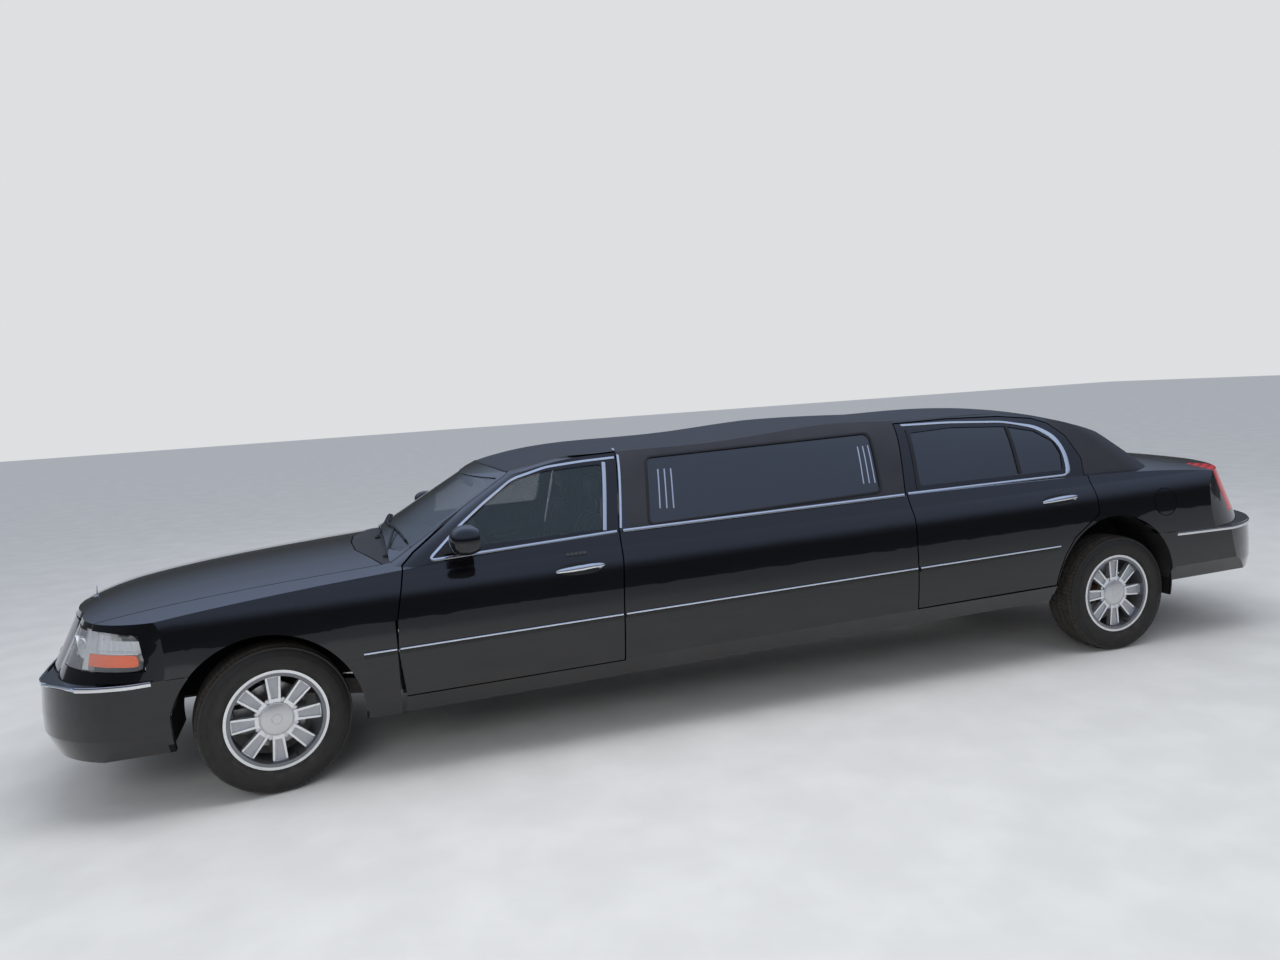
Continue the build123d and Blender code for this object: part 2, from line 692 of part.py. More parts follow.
def alloy_wheel():
    """Eight recessed spokes between a hub with five bolt holes and a lipped rim."""
    w, lip = rim_width / 2, rim_lip_radius
    rim = turned([(205, -w), (lip, -w), (lip, -w + 6), (217, -w + 9), (217, w - 9),
                  (lip, w - 6), (lip, w), (222, w), (205, w - 14)])
    root, tip = spoke_root / 2, spoke_tip / 2
    outline = [(60, -root), (212, -tip), (212, tip), (60, root)]
    inset = [(96, -root + 9), (196, -tip + 10), (196, tip - 10), (96, root - 9)]
    face = Plane((0, spoke_face, 0), x_dir=(1, 0, 0), z_dir=(0, -1, 0))
    spoke = prism(outline, face, spoke_depth) - prism(inset, face, spoke_recess)
    around = [Rot(0, 360 / spokes * i, 0) * spoke for i in range(spokes)]
    hub = rod((0, hub_face - hub_depth / 2, 0), hub_radius, hub_depth, "y")
    cap = rod((0, hub_face + 6, 0), cap_radius, 16, "y")
    holes = [rod((0, hub_face - 60, 0), spindle_radius + running_fit, 80, "y")]
    for i in range(5):
        a = radians(72 * i + 18)
        x, z = bolt_circle / 2 * cos(a), bolt_circle / 2 * sin(a)
        holes.append(rod((x, hub_face - hub_depth, z), bolt_hole_radius, 56, "y"))
    return (rim + [hub, cap, *around]) - holes


def brake_disc():
    """A vented disc with its hat, bolted behind the wheel's hub."""
    hat_depth, back = 64, hub_face - hub_depth
    disc = rod((0, back - 52, 0), disc_radius, disc_width, "y")
    disc += rod((0, back - hat_depth / 2, 0), hat_radius, hat_depth, "y")
    return disc - rod((0, hub_face - 80, 0), spindle_radius + running_fit, 200, "y")


def knuckle():
    """An upright with two ball pins, a spindle and the brake caliper, about the wheel's centre."""
    y, disc_y = -kingpin_inset, hub_face - hub_depth - 52
    reach = hub_face - 40
    post = block((-22, y - 22, -105), (22, y + 18, 105))
    pin = rod((0, y, 0), ball_pin_radius, 290, "z")
    spindle = rod((0, (y + reach) / 2, 0), spindle_radius, reach - y, "y")
    slot = block((0, disc_y - 18, -200), (disc_radius + 12, disc_y + 18, 200))
    clamp = block((hat_radius + 6, y - 6, -60), (disc_radius + 22, disc_y + 38, 60)) - slot
    bridge = block((10, y - 22, -30), (100, y - 2, 30))
    return post + [pin, spindle, bridge, clamp]


def suspension():
    """Upper and lower arms on both sides, meeting at the rail."""
    y, root = front_track / 2 - kingpin_inset, rail_inner + rail_width + seat_gap
    pieces = []
    for z in (axle_height - ball_height, axle_height + ball_height):
        plan = [(fore(-25), y), (fore(25), y), (fore(120), root), (fore(-120), root)]
        arm = plan_prism(plan, z - 12, z + 12) + rod((front_axle, y, z), 18, 24, "z")
        pieces.append(arm - rod((front_axle, y, z), ball_pin_radius + running_fit, 80, "z"))
    low, high = axle_height - ball_height - 12, axle_height + ball_height + 12
    plate = block((fore(-40), root, low), (fore(40), root + 10, high))
    return both_sides(plate + pieces)


def placed_wheel(shape, axle, side, steer):
    """A wheel part set on its axle, turned about the kingpin on the front axle."""
    track = front_track if axle == "front" else rear_track
    x = front_axle if axle == "front" else rear_axle
    if side < 0:
        shape = Rot(0, 0, 180) * shape
    here = Pos(x, side * track / 2, axle_height) * shape
    if axle == "rear":
        return here
    pin = (x, side * (track / 2 - kingpin_inset), 0)
    return here.rotate(Axis(pin, (0, 0, 1)), steer)


# Cabin

column_place = Pos(fore(-1120), 370, 960) * Rot(0, -65, 0)


def dash():
    """A full-width dashboard, kept clear of the doors and open for the column."""
    front = fore(-626) - seat_gap
    points = [(front, 640), (front, 985), (fore(-720), 1008), (fore(-900), 985),
              (fore(-985), 930), (fore(-960), 700), (fore(-900), 640)]
    whole = side_prism(points, -far_side, far_side) & cabin_clear
    end = front_prism(dash_end, fore(-1000), fore(-600))
    column = column_place * Pos(0, 0, -150) * Cylinder(31, 300)
    return whole - [*both_sides(end), column]


def wheel_and_column():
    ring = Torus(185, 15) + Cylinder(60, 30)
    spokes_in = [Rot(0, 0, angle) * Pos(110, 0, 0) * Box(150, 28, 12) for angle in (0, 90, 180)]
    column = Pos(0, 0, -115) * Cylinder(30, 200)
    return column_place * (ring + [*spokes_in, column])


def front_seat(y):
    low, high = (fore(-1640), y - 260, floor_top + seat_gap), (fore(-1110), y + 260, 640)
    cushion = fillet(block(low, high).edges(), 40)
    profile = [(fore(-1640), 560), (fore(-1520), 640), (fore(-1690), 1130), (fore(-1780), 1130)]
    back = side_prism(profile, y - 250, y + 250)
    head = fillet(block((fore(-1790), y - 125, 1165), (fore(-1690), y + 125, 1320)).edges(), 40)
    posts = [rod((fore(-1738), y + way, 1150), 7, 60, "z") for way in (-60, 60)]
    return cushion + [back, head, *posts]


def cabin_seats():
    """The rear bench, and the long seat on the right side."""
    low = trunk_top + seat_gap
    profile = [(aft(760), low), (aft(760), 705), (aft(330), 685), (aft(240), 1040), (aft(192), 1040),
               (aft(192), low)]
    bench = side_prism(profile, -620, 620)
    low = floor_top + seat_gap
    profile = [(-860, low), (-420, low), (-420, 660), (-740, 640), (-790, 1010), (-850, 1010)]
    side = front_prism(profile, aft(1420), fore(-2050)) & cabin_room
    return [bench, side]


def partition_wall():
    """The wall behind the front seats, with its opening."""
    wall = block((fore(-1895), -far_side, floor_top + seat_gap), (fore(-1865), far_side, 1600)) & side_inner
    return wall - block((fore(-1900), -480, 1020), (fore(-1860), 480, 1330))


def door_mirror():
    """A mirror housing on its foot, at the front of the left door's window."""
    sections = []
    for x, y_in, y_out, low, high, r in mirror_rows:
        plane = Plane((x, (y_in + y_out) / 2, (low + high) / 2), x_dir=(0, 1, 0), z_dir=(1, 0, 0))
        sections.append(plane * RectangleRounded(y_out - y_in, high - low, r))
    housing = loft(sections, ruled=True)
    foot = block((fore(-985), 850, 1042), (fore(-900), 950, 1078))
    foot -= [glasshouse(-seat_gap), lower_rest]
    return largest(housing + foot)


# Nodes

def wheel_nodes():
    """Wheel, tyre and disc of each corner, and the front knuckles."""
    kinds = (("wheel", alloy_wheel()), ("tyre", tyre_solid()), ("brake_disc", brake_disc()))
    upright = knuckle()
    found = {}
    for name, axle, side in (("front_left", "front", 1), ("front_right", "front", -1),
                             ("rear_left", "rear", 1), ("rear_right", "rear", -1)):
        for kind, shape in kinds:
            found[f"{kind}_{name}"] = placed_wheel(shape, axle, side, parked_steer)
        if axle == "front":
            found[f"knuckle_{name[6:]}"] = placed_wheel(upright, axle, side, parked_steer)
    return found


def door_nodes():
    """Both pairs of doors with their glass, and the front doors' mirrors."""
    found = {}
    for place, outline, window, rear in (("front", front_door_outline, front_window_outline, False),
                                         ("rear", rear_door_outline, rear_window_outline, True)):
        panels = both_sides(door_panel(outline, window, rear))
        glass = both_sides(pane(window, window_corner))
        for hand, panel, sheet_of_glass in zip(("left", "right"), panels, glass):
            found[f"{place}_door_{hand}"] = panel
            found[f"{place}_door_glass_{hand}"] = sheet_of_glass
    found["mirror_left"], found["mirror_right"] = both_sides(door_mirror())
    return found


def body_nodes():
    return {
        "fenders": both_sides(fender()),
        "quarter_panels": [quarter(True), mirror(quarter(False), about=Plane.XZ)],
        "stretch_sides": both_sides(stretch_side()),
        "roof": roof_shell(),
        "fixed_glass": fixed_panes(),
        "hood": hood_panel(),
        "trunk_lid": trunk_lid_panel(),
        "fuel_flap": fuel_flap_panel(),
        "front_bumper": front_bumper_cover(),
        "rear_bumper": rear_bumper_cover(),
        "grille": grille_piece(),
        "headlamps": both_sides(lamp(lamp_outline, lamp_inner)),
        "tail_lamps": both_sides(lamp(tail_lamp_outline, lid_half_width + panel_gap)),
    }


def inner_nodes():
    return {
        "frame": chassis(),
        "floor": floor_body(),
        "engine": engine_block(),
        "fuel_tank": tank(),
        "exhaust": exhaust_pipe(),
        "propeller_shaft": propeller_shaft(),
        "rear_axle": rear_axle_beam(),
        "front_suspension": suspension(),
        "dashboard": dash(),
        "steering_wheel": wheel_and_column(),
        "front_seats": [front_seat(370), front_seat(-370)],
        "cabin_seats": cabin_seats(),
        "partition": partition_wall(),
    }


def write_all():
    os.makedirs("parts", exist_ok=True)
    for group in (wheel_nodes, door_nodes, body_nodes, inner_nodes):
        for name, shapes in group().items():
            found = []
            for shape in shapes if isinstance(shapes, list) else [shapes]:
                found += list(shape.solids())
            export_step(found[0] if len(found) == 1 else Compound(children=found), f"parts/{name}.step")
            print(name, len(found), round(sum(s.volume for s in found) / 1e6, 2), flush=True)


if __name__ == "__main__":
    write_all()
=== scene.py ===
from math import atan2, cos, pi, radians, sin, sqrt
import bmesh
import bpy
from mathutils import Matrix, Vector
from mathutils.bvhtree import BVHTree


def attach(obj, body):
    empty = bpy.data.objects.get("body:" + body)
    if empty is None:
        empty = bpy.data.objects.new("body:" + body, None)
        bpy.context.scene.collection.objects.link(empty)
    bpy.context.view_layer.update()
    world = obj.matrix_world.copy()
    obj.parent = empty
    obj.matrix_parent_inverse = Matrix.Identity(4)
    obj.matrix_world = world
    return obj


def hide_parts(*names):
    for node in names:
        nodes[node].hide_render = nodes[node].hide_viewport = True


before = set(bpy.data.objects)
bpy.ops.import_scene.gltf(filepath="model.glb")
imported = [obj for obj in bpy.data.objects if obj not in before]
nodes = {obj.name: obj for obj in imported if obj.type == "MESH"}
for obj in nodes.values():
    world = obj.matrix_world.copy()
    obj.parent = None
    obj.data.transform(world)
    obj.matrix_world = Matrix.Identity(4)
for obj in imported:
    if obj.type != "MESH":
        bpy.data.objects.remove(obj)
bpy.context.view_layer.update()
print("frame loaded,", len(nodes), "nodes")

frontAxle, rearAxle, axleHeight = 2.61, -2.21, 0.347
steer = radians(11.5)            # how the front wheels stand parked
hands = (("left", 1), ("right", -1))


def fore(distance):              # a station measured forward from the front axle
    return frontAxle + distance


# materials: Value does the maths on sockets, Finish makes the nodes

class Value:
    # a socket inside a material, or a plain number, that sums and products can be written with
    def __init__(self, finish, socket):
        self.finish, self.socket = finish, socket

    def maths(self, operation, *others):
        return self.finish.add("ShaderNodeMath", {"operation": operation}, dict(enumerate([self, *others])))

    def __add__(self, other):
        return self.maths("ADD", other)

    def __mul__(self, other):
        return self.maths("MULTIPLY", other)

    def __sub__(self, other):
        return self.maths("SUBTRACT", other)

    def __rsub__(self, other):
        return self * -1 + other

    __radd__, __rmul__ = __add__, __mul__

    def size(self):
        return self.maths("ABSOLUTE")

    def least(self, other):
        return self.maths("MINIMUM", other)

    def most(self, other):
        return self.maths("MAXIMUM", other)

    def step(self, low, high):   # 0 below low, 1 above high, smooth between
        return self.finish.add("ShaderNodeMapRange", {"interpolation_type": "SMOOTHSTEP"},
                               {0: self, 1: low, 2: high, 3: 0.0, 4: 1.0})


class Finish:
    # one material while it is being made
    def __init__(self, name, colour, roughness, **sockets):
        self.material = bpy.data.materials.new(name)
        self.material.use_nodes = True
        self.tree = self.material.node_tree
        self.shader = self.tree.nodes["Principled BSDF"]
        self.set(Base_Color=(*colour, 1.0), Roughness=roughness, **sockets)
        self.place = self.add("ShaderNodeTexCoord", output="Object")

    def add(self, kind, settings=None, sockets=None, output=0):
        node = self.tree.nodes.new(kind)
        for name, setting in (settings or {}).items():
            setattr(node, name, setting)
        for name, value in (sockets or {}).items():
            self.feed(node.inputs[name], value)
        return Value(self, node.outputs[output]) if len(node.outputs) else None

    def feed(self, socket, value):
        if isinstance(value, Value):
            self.tree.links.new(value.socket, socket)
        else:
            socket.default_value = value

    def set(self, **sockets):
        for name, value in sockets.items():
            self.feed(self.shader.inputs[name.replace("_", " ")], value)
        return self

    def noise(self, scale, detail=2.0, place=None):
        return self.add("ShaderNodeTexNoise", None,
                        {"Vector": place or self.place, "Scale": scale, "Detail": detail})

    def cells(self, scale, feature="F1"):
        return self.add("ShaderNodeTexVoronoi", {"feature": feature}, {"Vector": self.place, "Scale": scale})

    def wave(self, axis, scale, place=None, distortion=0.0, detail=2.0, kind="BANDS"):
        # ribs across an axis, or rings round it
        return self.add("ShaderNodeTexWave", {"wave_type": kind, kind.lower() + "_direction": axis},
                        {"Vector": place or self.place, "Scale": scale, "Distortion": distortion,
                         "Detail": detail})

    def facing(self, blend):                    # rises where the view grazes the face
        return self.add("ShaderNodeLayerWeight", None, {"Blend": blend}, output="Facing")

    def axes(self, place=None):
        place = place or self.place
        return [self.add("ShaderNodeSeparateXYZ", None, {"Vector": place}, output=axis) for axis in "XYZ"]

    def moved(self, spot, turn):                # object coordinates about a spot, unturned
        return self.add("ShaderNodeMapping", {"vector_type": "TEXTURE"},
                        {"Vector": self.place, "Location": spot, "Rotation": turn})

    def stretched(self, scale):
        return self.add("ShaderNodeMapping", None, {"Vector": self.place, "Scale": scale})

    def blend(self, share, first, second):      # colours only
        return self.add("ShaderNodeMix", {"data_type": "RGBA"},
                        {0: share, 6: shade(first), 7: shade(second)}, output=2)

    def bump(self, height, distance, strength):
        made = self.add("ShaderNodeBump", None,
                        {"Height": height, "Distance": distance, "Strength": strength}, output="Normal")
        return self.set(Normal=made)

    def done(self):
        return self.material


def shade(colour):
    return (*colour, 1.0) if isinstance(colour, tuple) and len(colour) == 3 else colour


def roadDust(finish, colour, most):
    # dust that thins out upwards: gives the share and the mixed colour
    along, across, up = finish.axes()
    share = (1 - up.step(0.30, 0.75)) * finish.noise(9.0, 5.0).step(0.35, 0.75) * most
    return share, finish.blend(share, colour, (0.16, 0.14, 0.12))


archLook = dict(centres=((fore(-0.010), axleHeight), (rearAxle + 0.055, 0.400)), radii=(0.4305, 0.4405),
                lipY=0.954)
headerLook = dict(x=fore(-1.195), bow=0.10)          # where the roof's vinyl begins


def underArch(finish):
    # 1 on the wheelhouse walls, which lie inside the arches' lips
    along, across, up = finish.axes()
    found = 0
    for (x, z), radius in zip(archLook["centres"], archLook["radii"]):
        run, rise = along - x, up - z
        found = (1 - (run * run + rise * rise).maths("SQRT").step(radius, radius + 0.001)).most(found)
    return found * (1 - across.size().step(archLook["lipY"], archLook["lipY"] + 0.001))


def makePaint():
    black = (0.003, 0.003, 0.004)
    paint = Finish("blackPaint", black, 0.08, Coat_Weight=1.0, Coat_Roughness=0.012, Specular_IOR_Level=0.15)
    share, colour = roadDust(paint, black, 0.07)
    haze = paint.noise(2.3, 4.0).step(0.3, 0.8)
    well = underArch(paint)
    gloss = 1 - well
    paint.set(Base_Color=paint.blend(well, colour, (0.010, 0.0095, 0.009)),
              Coat_Weight=(1 - share * 3) * gloss,
              Roughness=(0.10 + haze * 0.06 + share * 1.2) * gloss + well * 0.85)
    return paint.bump(paint.noise(260.0, 1.0), 0.00002, 0.4).done()


def makeVinyl(finish):
    # grained roof vinyl: gives colour, roughness and grain height
    grain = finish.cells(520.0, feature="SMOOTH_F1") * 0.7 + finish.noise(1400.0, 3.0) * 0.5
    cloudy = finish.noise(3.0, 5.0).step(0.3, 0.75)
    colour = finish.blend(cloudy, (0.016, 0.016, 0.019), (0.026, 0.026, 0.030))
    return colour, 0.46 + cloudy * 0.12, grain


def makeRoof():
    # vinyl behind the header, gloss paint on the pillars and in a narrow band over the doors
    roof = Finish("roofVinylAndPaint", (0.02, 0.02, 0.02), 0.5, Coat_Roughness=0.02)
    along, across, up = roof.axes()
    header = (headerLook["x"] - across * across * headerLook["bow"] - along).step(0.0, 0.004)
    edge = (0.600 + (fore(-1.20) - along) * 0.225).least(0.641 + (fore(-1.40) - along) * 0.03)
    overFront = edge - across.size()
    behindDoor = (fore(-1.79) - along).step(0.0, 0.003)
    overRear = up - (1.4765 + (along - fore(-3.49)) * 0.002).least(1.462 + (along - fore(-4.46)) * 0.30)
    rearDoor = (fore(-3.49) - along).step(0.0, 0.003) * (along - fore(-4.53)).step(0.0, 0.003)
    overSide = (1 - behindDoor) * overFront.step(0.0, 0.002) + behindDoor * (1 - rearDoor)
    side = (overSide + rearDoor * overRear.step(0.0, 0.002)).most(1 - across.size().step(0.60, 0.602))
    mask = header * side.least(1.0)
    colour, roughness, grain = makeVinyl(roof)
    roof.set(Base_Color=roof.blend(mask, (0.004, 0.004, 0.005), colour),
             Roughness=(1 - mask) * 0.1 + mask * roughness, Coat_Weight=1 - mask)
    return roof.bump(grain * mask, 0.0005, 0.8).done()


def makeChrome(name="chrome", tone=0.80, roughness=0.07, worn=0.25):
    bright = (tone, tone, tone * 1.01)
    chrome = Finish(name, bright, roughness, Metallic=1.0)
    marks = chrome.noise(38.0, 6.0).step(0.5, 0.8)
    return chrome.set(Roughness=roughness + marks * worn * 0.4,
                      Base_Color=chrome.blend(marks * worn, bright, (0.5, 0.5, 0.5))).done()


def makeGlass(name, colour, clear):
    # a thin pane: what shows through it is set by Alpha, which rises at a grazing view
    glass = Finish(name, colour, 0.01, Specular_IOR_Level=0.6, Coat_Weight=1.0, Coat_Roughness=0.0)
    facing = glass.facing(0.25)
    dust = glass.noise(14.0, 6.0).step(0.45, 0.85)
    glass.set(Alpha=(1 - clear) + clear * facing * facing + dust * 0.02, Roughness=0.005 + dust * 0.02)
    return glass.done()


def makeFixedGlass():
    # the windscreen is clear with a shade band at its top, the other fixed panes are dark
    glass = Finish("fixedGlass", (0.01, 0.012, 0.014), 0.01, Specular_IOR_Level=0.6, Coat_Weight=1.0)
    along, across, up = glass.axes()
    screen = (along - fore(-1.6)).step(0.0, 0.01)
    band = up.step(1.29, 1.36)
    clear = screen * (0.72 - band * 0.35)
    facing = glass.facing(0.3)
    dust = glass.noise(9.0, 6.0).step(0.4, 0.85)
    glass.set(Alpha=(1 - clear) + clear * facing * facing + dust * 0.03, Roughness=0.005 + dust * 0.02,
              Base_Color=glass.blend(screen, (0.006, 0.007, 0.009), (0.020, 0.028, 0.030)))
    return glass.done()


def wheelPlaces():
    # centre and turn of each corner: name, x, y, angle about the upright axis
    inset = 0.070                    # from the steering pin out to the front wheel's middle
    found = []
    for hand, side in hands:
        pin = side * (0.805 - inset)
        found.append((f"front_{hand}", frontAxle - side * inset * sin(steer),
                      pin + side * inset * cos(steer), steer))
        found.append((f"rear_{hand}", rearAxle, side * 0.833, 0.0))
    return found


def wheelCoordinates(finish, spot):
    name, x, y, turn = spot
    place = finish.moved((x, y, axleHeight), (0, 0, turn))
    across, axial, up = finish.axes(place)
    radius = (across * across + up * up).maths("SQRT")
    side = 1 if y > 0 else -1
    return place, radius, axial * side


def makeAlloy(spot):
    # machined lip and spoke edges, painted pockets and well, and painted shade darkening the ring inside the
    # lip
    alloy = Finish("alloy_" + spot[0], (0.74, 0.75, 0.77), 0.22, Metallic=1.0)
    place, radius, axial = wheelCoordinates(alloy, spot)
    face = axial.step(0.0675, 0.0685)
    # the ring inside the lip is not machined, and is coloured darker than the pockets as painted shade
    shadedLipRing = radius.step(0.1985, 0.1995) * (1 - radius.step(0.2200, 0.2210))
    pocket = (1 - face).most(shadedLipRing)
    turnedLines = alloy.wave("Y", 240.0, place, 0.4, 1.0, "RINGS")
    dust = alloy.noise(30.0, 5.0).step(0.45, 0.8) * (1 - radius.step(0.0, 0.24)).most(0.35)
    # grey pocket paint, darker on the ring inside the lip as painted shade
    pocketPaintAndShade = alloy.blend(shadedLipRing, (0.45, 0.46, 0.48), (0.22, 0.225, 0.24))
    colour = alloy.blend(pocket, (0.80, 0.81, 0.82), pocketPaintAndShade)
    alloy.set(Base_Color=alloy.blend(dust * 0.35, colour, (0.20, 0.18, 0.16)), Metallic=1 - pocket * 0.25,
              Roughness=0.16 + pocket * 0.22 + turnedLines * 0.05 + dust * 0.25)
    return alloy.bump(turnedLines * (1 - pocket), 0.00005, 0.3).done()


def makeTyre(spot):
    tyre = Finish("rubber_" + spot[0], (0.022, 0.021, 0.020), 0.8, Specular_IOR_Level=0.35)
    place, radius, axial = wheelCoordinates(tyre, spot)
    dust = tyre.noise(22.0, 6.0, place).step(0.35, 0.8)
    tread = radius.step(0.328, 0.338)
    grooves = radius.step(0.3375, 0.3445)
    worn = tyre.blend(tread * (0.35 + grooves * 0.45) * (0.5 + dust * 0.5),
                      (0.020, 0.019, 0.018), (0.085, 0.076, 0.066))
    scuff = tyre.blend((1 - radius.step(0.24, 0.30)) * dust * 0.35, worn, (0.10, 0.085, 0.07))
    tyre.set(Base_Color=scuff, Roughness=0.62 + dust * 0.2)
    return tyre.bump(tyre.noise(900.0, 3.0, place), 0.0003, 0.35).done()


def makeIron(name, spot=None):
    iron = Finish(name, (0.30, 0.29, 0.28), 0.4, Metallic=1.0)
    rust = iron.noise(16.0, 8.0).step(0.42, 0.70)
    if spot:
        place, radius, axial = wheelCoordinates(iron, spot)
        lines = iron.wave("Y", 160.0, place, 1.0, kind="RINGS")
        rust = rust.most(1 - radius.step(0.082, 0.086)) * (1 - radius.step(0.086, 0.088) * 0.9)
        iron.set(Roughness=0.25 + lines * 0.12 + rust * 0.4)
        iron.bump(lines, 0.0001, 0.4)
    else:
        iron.set(Roughness=0.5 + rust * 0.3)
        iron.bump(iron.noise(300.0, 4.0), 0.0008, 0.5)
    iron.set(Base_Color=iron.blend(rust, (0.42, 0.41, 0.40), (0.13, 0.06, 0.03)), Metallic=1 - rust * 0.9)
    return iron.done()


def makeDull(name, colour, roughness, grain, dust, distance=0.0003):
    # mouldings, plastic and painted steel: one grain and road dust
    dull = Finish(name, colour, roughness)
    share, mixed = roadDust(dull, colour, dust)
    height = dull.noise(grain, 4.0)
    dull.set(Base_Color=mixed, Roughness=roughness + share * 0.3 + (height - 0.5) * 0.1)
    return dull.bump(height, distance, 0.6).done()


def makeExhaust():
    pipe = Finish("exhaustSteel", (0.45, 0.43, 0.40), 0.35, Metallic=1.0)
    heat = pipe.noise(5.0, 5.0).step(0.35, 0.7)
    brushed = pipe.noise(4.0, 3.0, pipe.stretched((2.0, 300.0, 300.0)))
    pipe.set(Base_Color=pipe.blend(heat, (0.48, 0.47, 0.46), (0.24, 0.17, 0.12)),
             Roughness=0.3 + heat * 0.3 + brushed * 0.1)
    return pipe.bump(brushed, 0.0002, 0.3).done()


def makeLeather():
    leather = Finish("blackLeather", (0.022, 0.021, 0.021), 0.42)
    grain = leather.cells(420.0) * 0.6 + leather.noise(900.0, 3.0) * 0.4
    crease = leather.noise(34.0, 6.0).step(0.42, 0.62)
    leather.set(Base_Color=leather.blend(crease, (0.018, 0.017, 0.017), (0.036, 0.034, 0.033)),
                Roughness=0.36 + crease * 0.14)
    return leather.bump(grain * 0.6 + crease * 0.8, 0.0006, 0.7).done()


def makeCarpet():
    carpet = Finish("cabinCarpet", (0.03, 0.03, 0.032), 0.95, Sheen_Weight=0.05, Specular_IOR_Level=0.3)
    pile = carpet.cells(700.0) * 0.5 + carpet.noise(1600.0, 2.0) * 0.5
    trodden = carpet.noise(6.0, 5.0).step(0.35, 0.7)
    along, across, up = carpet.axes()
    # the floor node's foremost top is the slatted panel under the wipers
    cowl = (along - fore(-0.612)).step(0.0, 0.004) * up.step(0.86, 0.87)
    slats = carpet.wave("Y", 14.0)
    tufts = carpet.blend(trodden, (0.022, 0.022, 0.024), (0.05, 0.048, 0.048))
    carpet.set(Base_Color=carpet.blend(cowl, tufts, (0.005, 0.005, 0.005)), Roughness=0.95 - cowl * 0.55)
    return carpet.bump(pile * (1 - cowl) + slats.step(0.3, 0.7) * cowl * 3.0, 0.002, 0.8).done()


def makeLamp(name, colour, glow, clear):
    # fluted lens: ribs run upright, and the flutes are painted lighter towards glow as painted highlights
    lamp = Finish(name, colour, 0.03, Coat_Weight=1.0, Specular_IOR_Level=0.6)
    flutes = lamp.wave("Y", 26.0)
    facing = lamp.facing(0.35)
    lamp.set(Base_Color=lamp.blend(flutes * 0.5, colour, glow), Roughness=0.03 + flutes * 0.05,
             Alpha=(1 - clear) + clear * facing * facing)
    return lamp.bump(flutes, 0.0008, 0.3).done()


def makeTailLamp():
    # red with finer ribs, and a clear reversing lamp in its inner lower part
    lamp = Finish("redLens", (0.30, 0.005, 0.007), 0.10, Coat_Weight=0.30, Specular_IOR_Level=0.25,
                  Emission_Strength=0.45)
    along, across, up = lamp.axes()
    middle = across.size()
    reverse = (1 - middle.step(0.785, 0.788)) * up.step(0.798, 0.801) * (1 - up.step(0.862, 0.865))
    seams = (middle - 0.787).size().step(0.003, 0.0035).least((up - 0.8815).size().step(0.003, 0.0035))
    ribs, lines = lamp.wave("Z", 38.0), lamp.wave("Y", 24.0)
    red = lamp.blend(ribs * lines, (0.22, 0.004, 0.006), (0.70, 0.030, 0.030))
    glassy = lamp.blend(reverse, red, (0.70, 0.70, 0.70))
    lamp.set(Base_Color=lamp.blend(1 - seams, glassy, (0.05, 0.002, 0.002)), Roughness=0.08 + ribs * 0.06,
             Emission_Color=lamp.blend(reverse, red, (0.25, 0.25, 0.25)))
    return lamp.bump(ribs * 0.6 + lines * 0.4, 0.0008, 0.35).done()


def makePlate():
    plate = Finish("plateWhite", (0.78, 0.78, 0.76), 0.35)
    marks = plate.noise(40.0, 6.0).step(0.5, 0.8)
    return plate.set(Base_Color=plate.blend(marks * 0.3, (0.78, 0.78, 0.76), (0.5, 0.47, 0.42)),
                     Roughness=0.3 + marks * 0.3).done()


paint, roofFinish, chrome = makePaint(), makeRoof(), makeChrome()
brightBar = makeChrome("satinAluminium", 0.72, 0.28)
clearGlass = makeGlass("frontDoorGlass", (0.020, 0.030, 0.032), 0.62)
darkGlass = makeGlass("darkGlass", (0.006, 0.007, 0.009), 0.06)
mirrorSilver = makeChrome("mirrorSilver", 0.88, 0.02)
fixedGlass = makeFixedGlass()
# the clear lens's whitish grey colour is a painted reflection of the bright reflector behind it
lensClear = makeLamp("lampLens", (0.34, 0.36, 0.38), (0.60, 0.62, 0.65), 0.90)
lensAmber = makeLamp("amberLens", (0.92, 0.115, 0.008), (1.0, 0.20, 0.02), 0.02)
# whitish and only partly metallic: a painted reflection, so the reflector looks bright without a bright world
# to mirror
paintedBrightReflector = Finish("lampReflectorPaintedBright", (0.86, 0.87, 0.89), 0.30, Metallic=0.35)
paintedBrightReflector = paintedBrightReflector.bump(paintedBrightReflector.noise(60.0, 3.0), 0.0004, 0.4).done()
rubber = makeDull("blackRubber", (0.010, 0.010, 0.010), 0.55, 700.0, 0.15)
underBlack = makeDull("chassisBlack", (0.025, 0.025, 0.025), 0.6, 60.0, 0.6, 0.001)
plastic = makeDull("grainedPlastic", (0.030, 0.030, 0.032), 0.5, 800.0, 0.1, 0.0004)
wood = Finish("dashVeneer", (0.16, 0.06, 0.025), 0.2, Coat_Weight=0.8)
veins = wood.wave("Z", 3.0, wood.stretched((1.0, 1.0, 14.0)), 9.0, 4.0)
wood = wood.set(Base_Color=wood.blend(veins, (0.20, 0.075, 0.028), (0.07, 0.022, 0.010))).done()
iron, exhaustSteel, leather, carpet = makeIron("castIron"), makeExhaust(), makeLeather(), makeCarpet()
plateWhite, lensRed = makePlate(), makeTailLamp()
capFinish = makeChrome("capAluminium", 0.66, 0.30, 0.06)
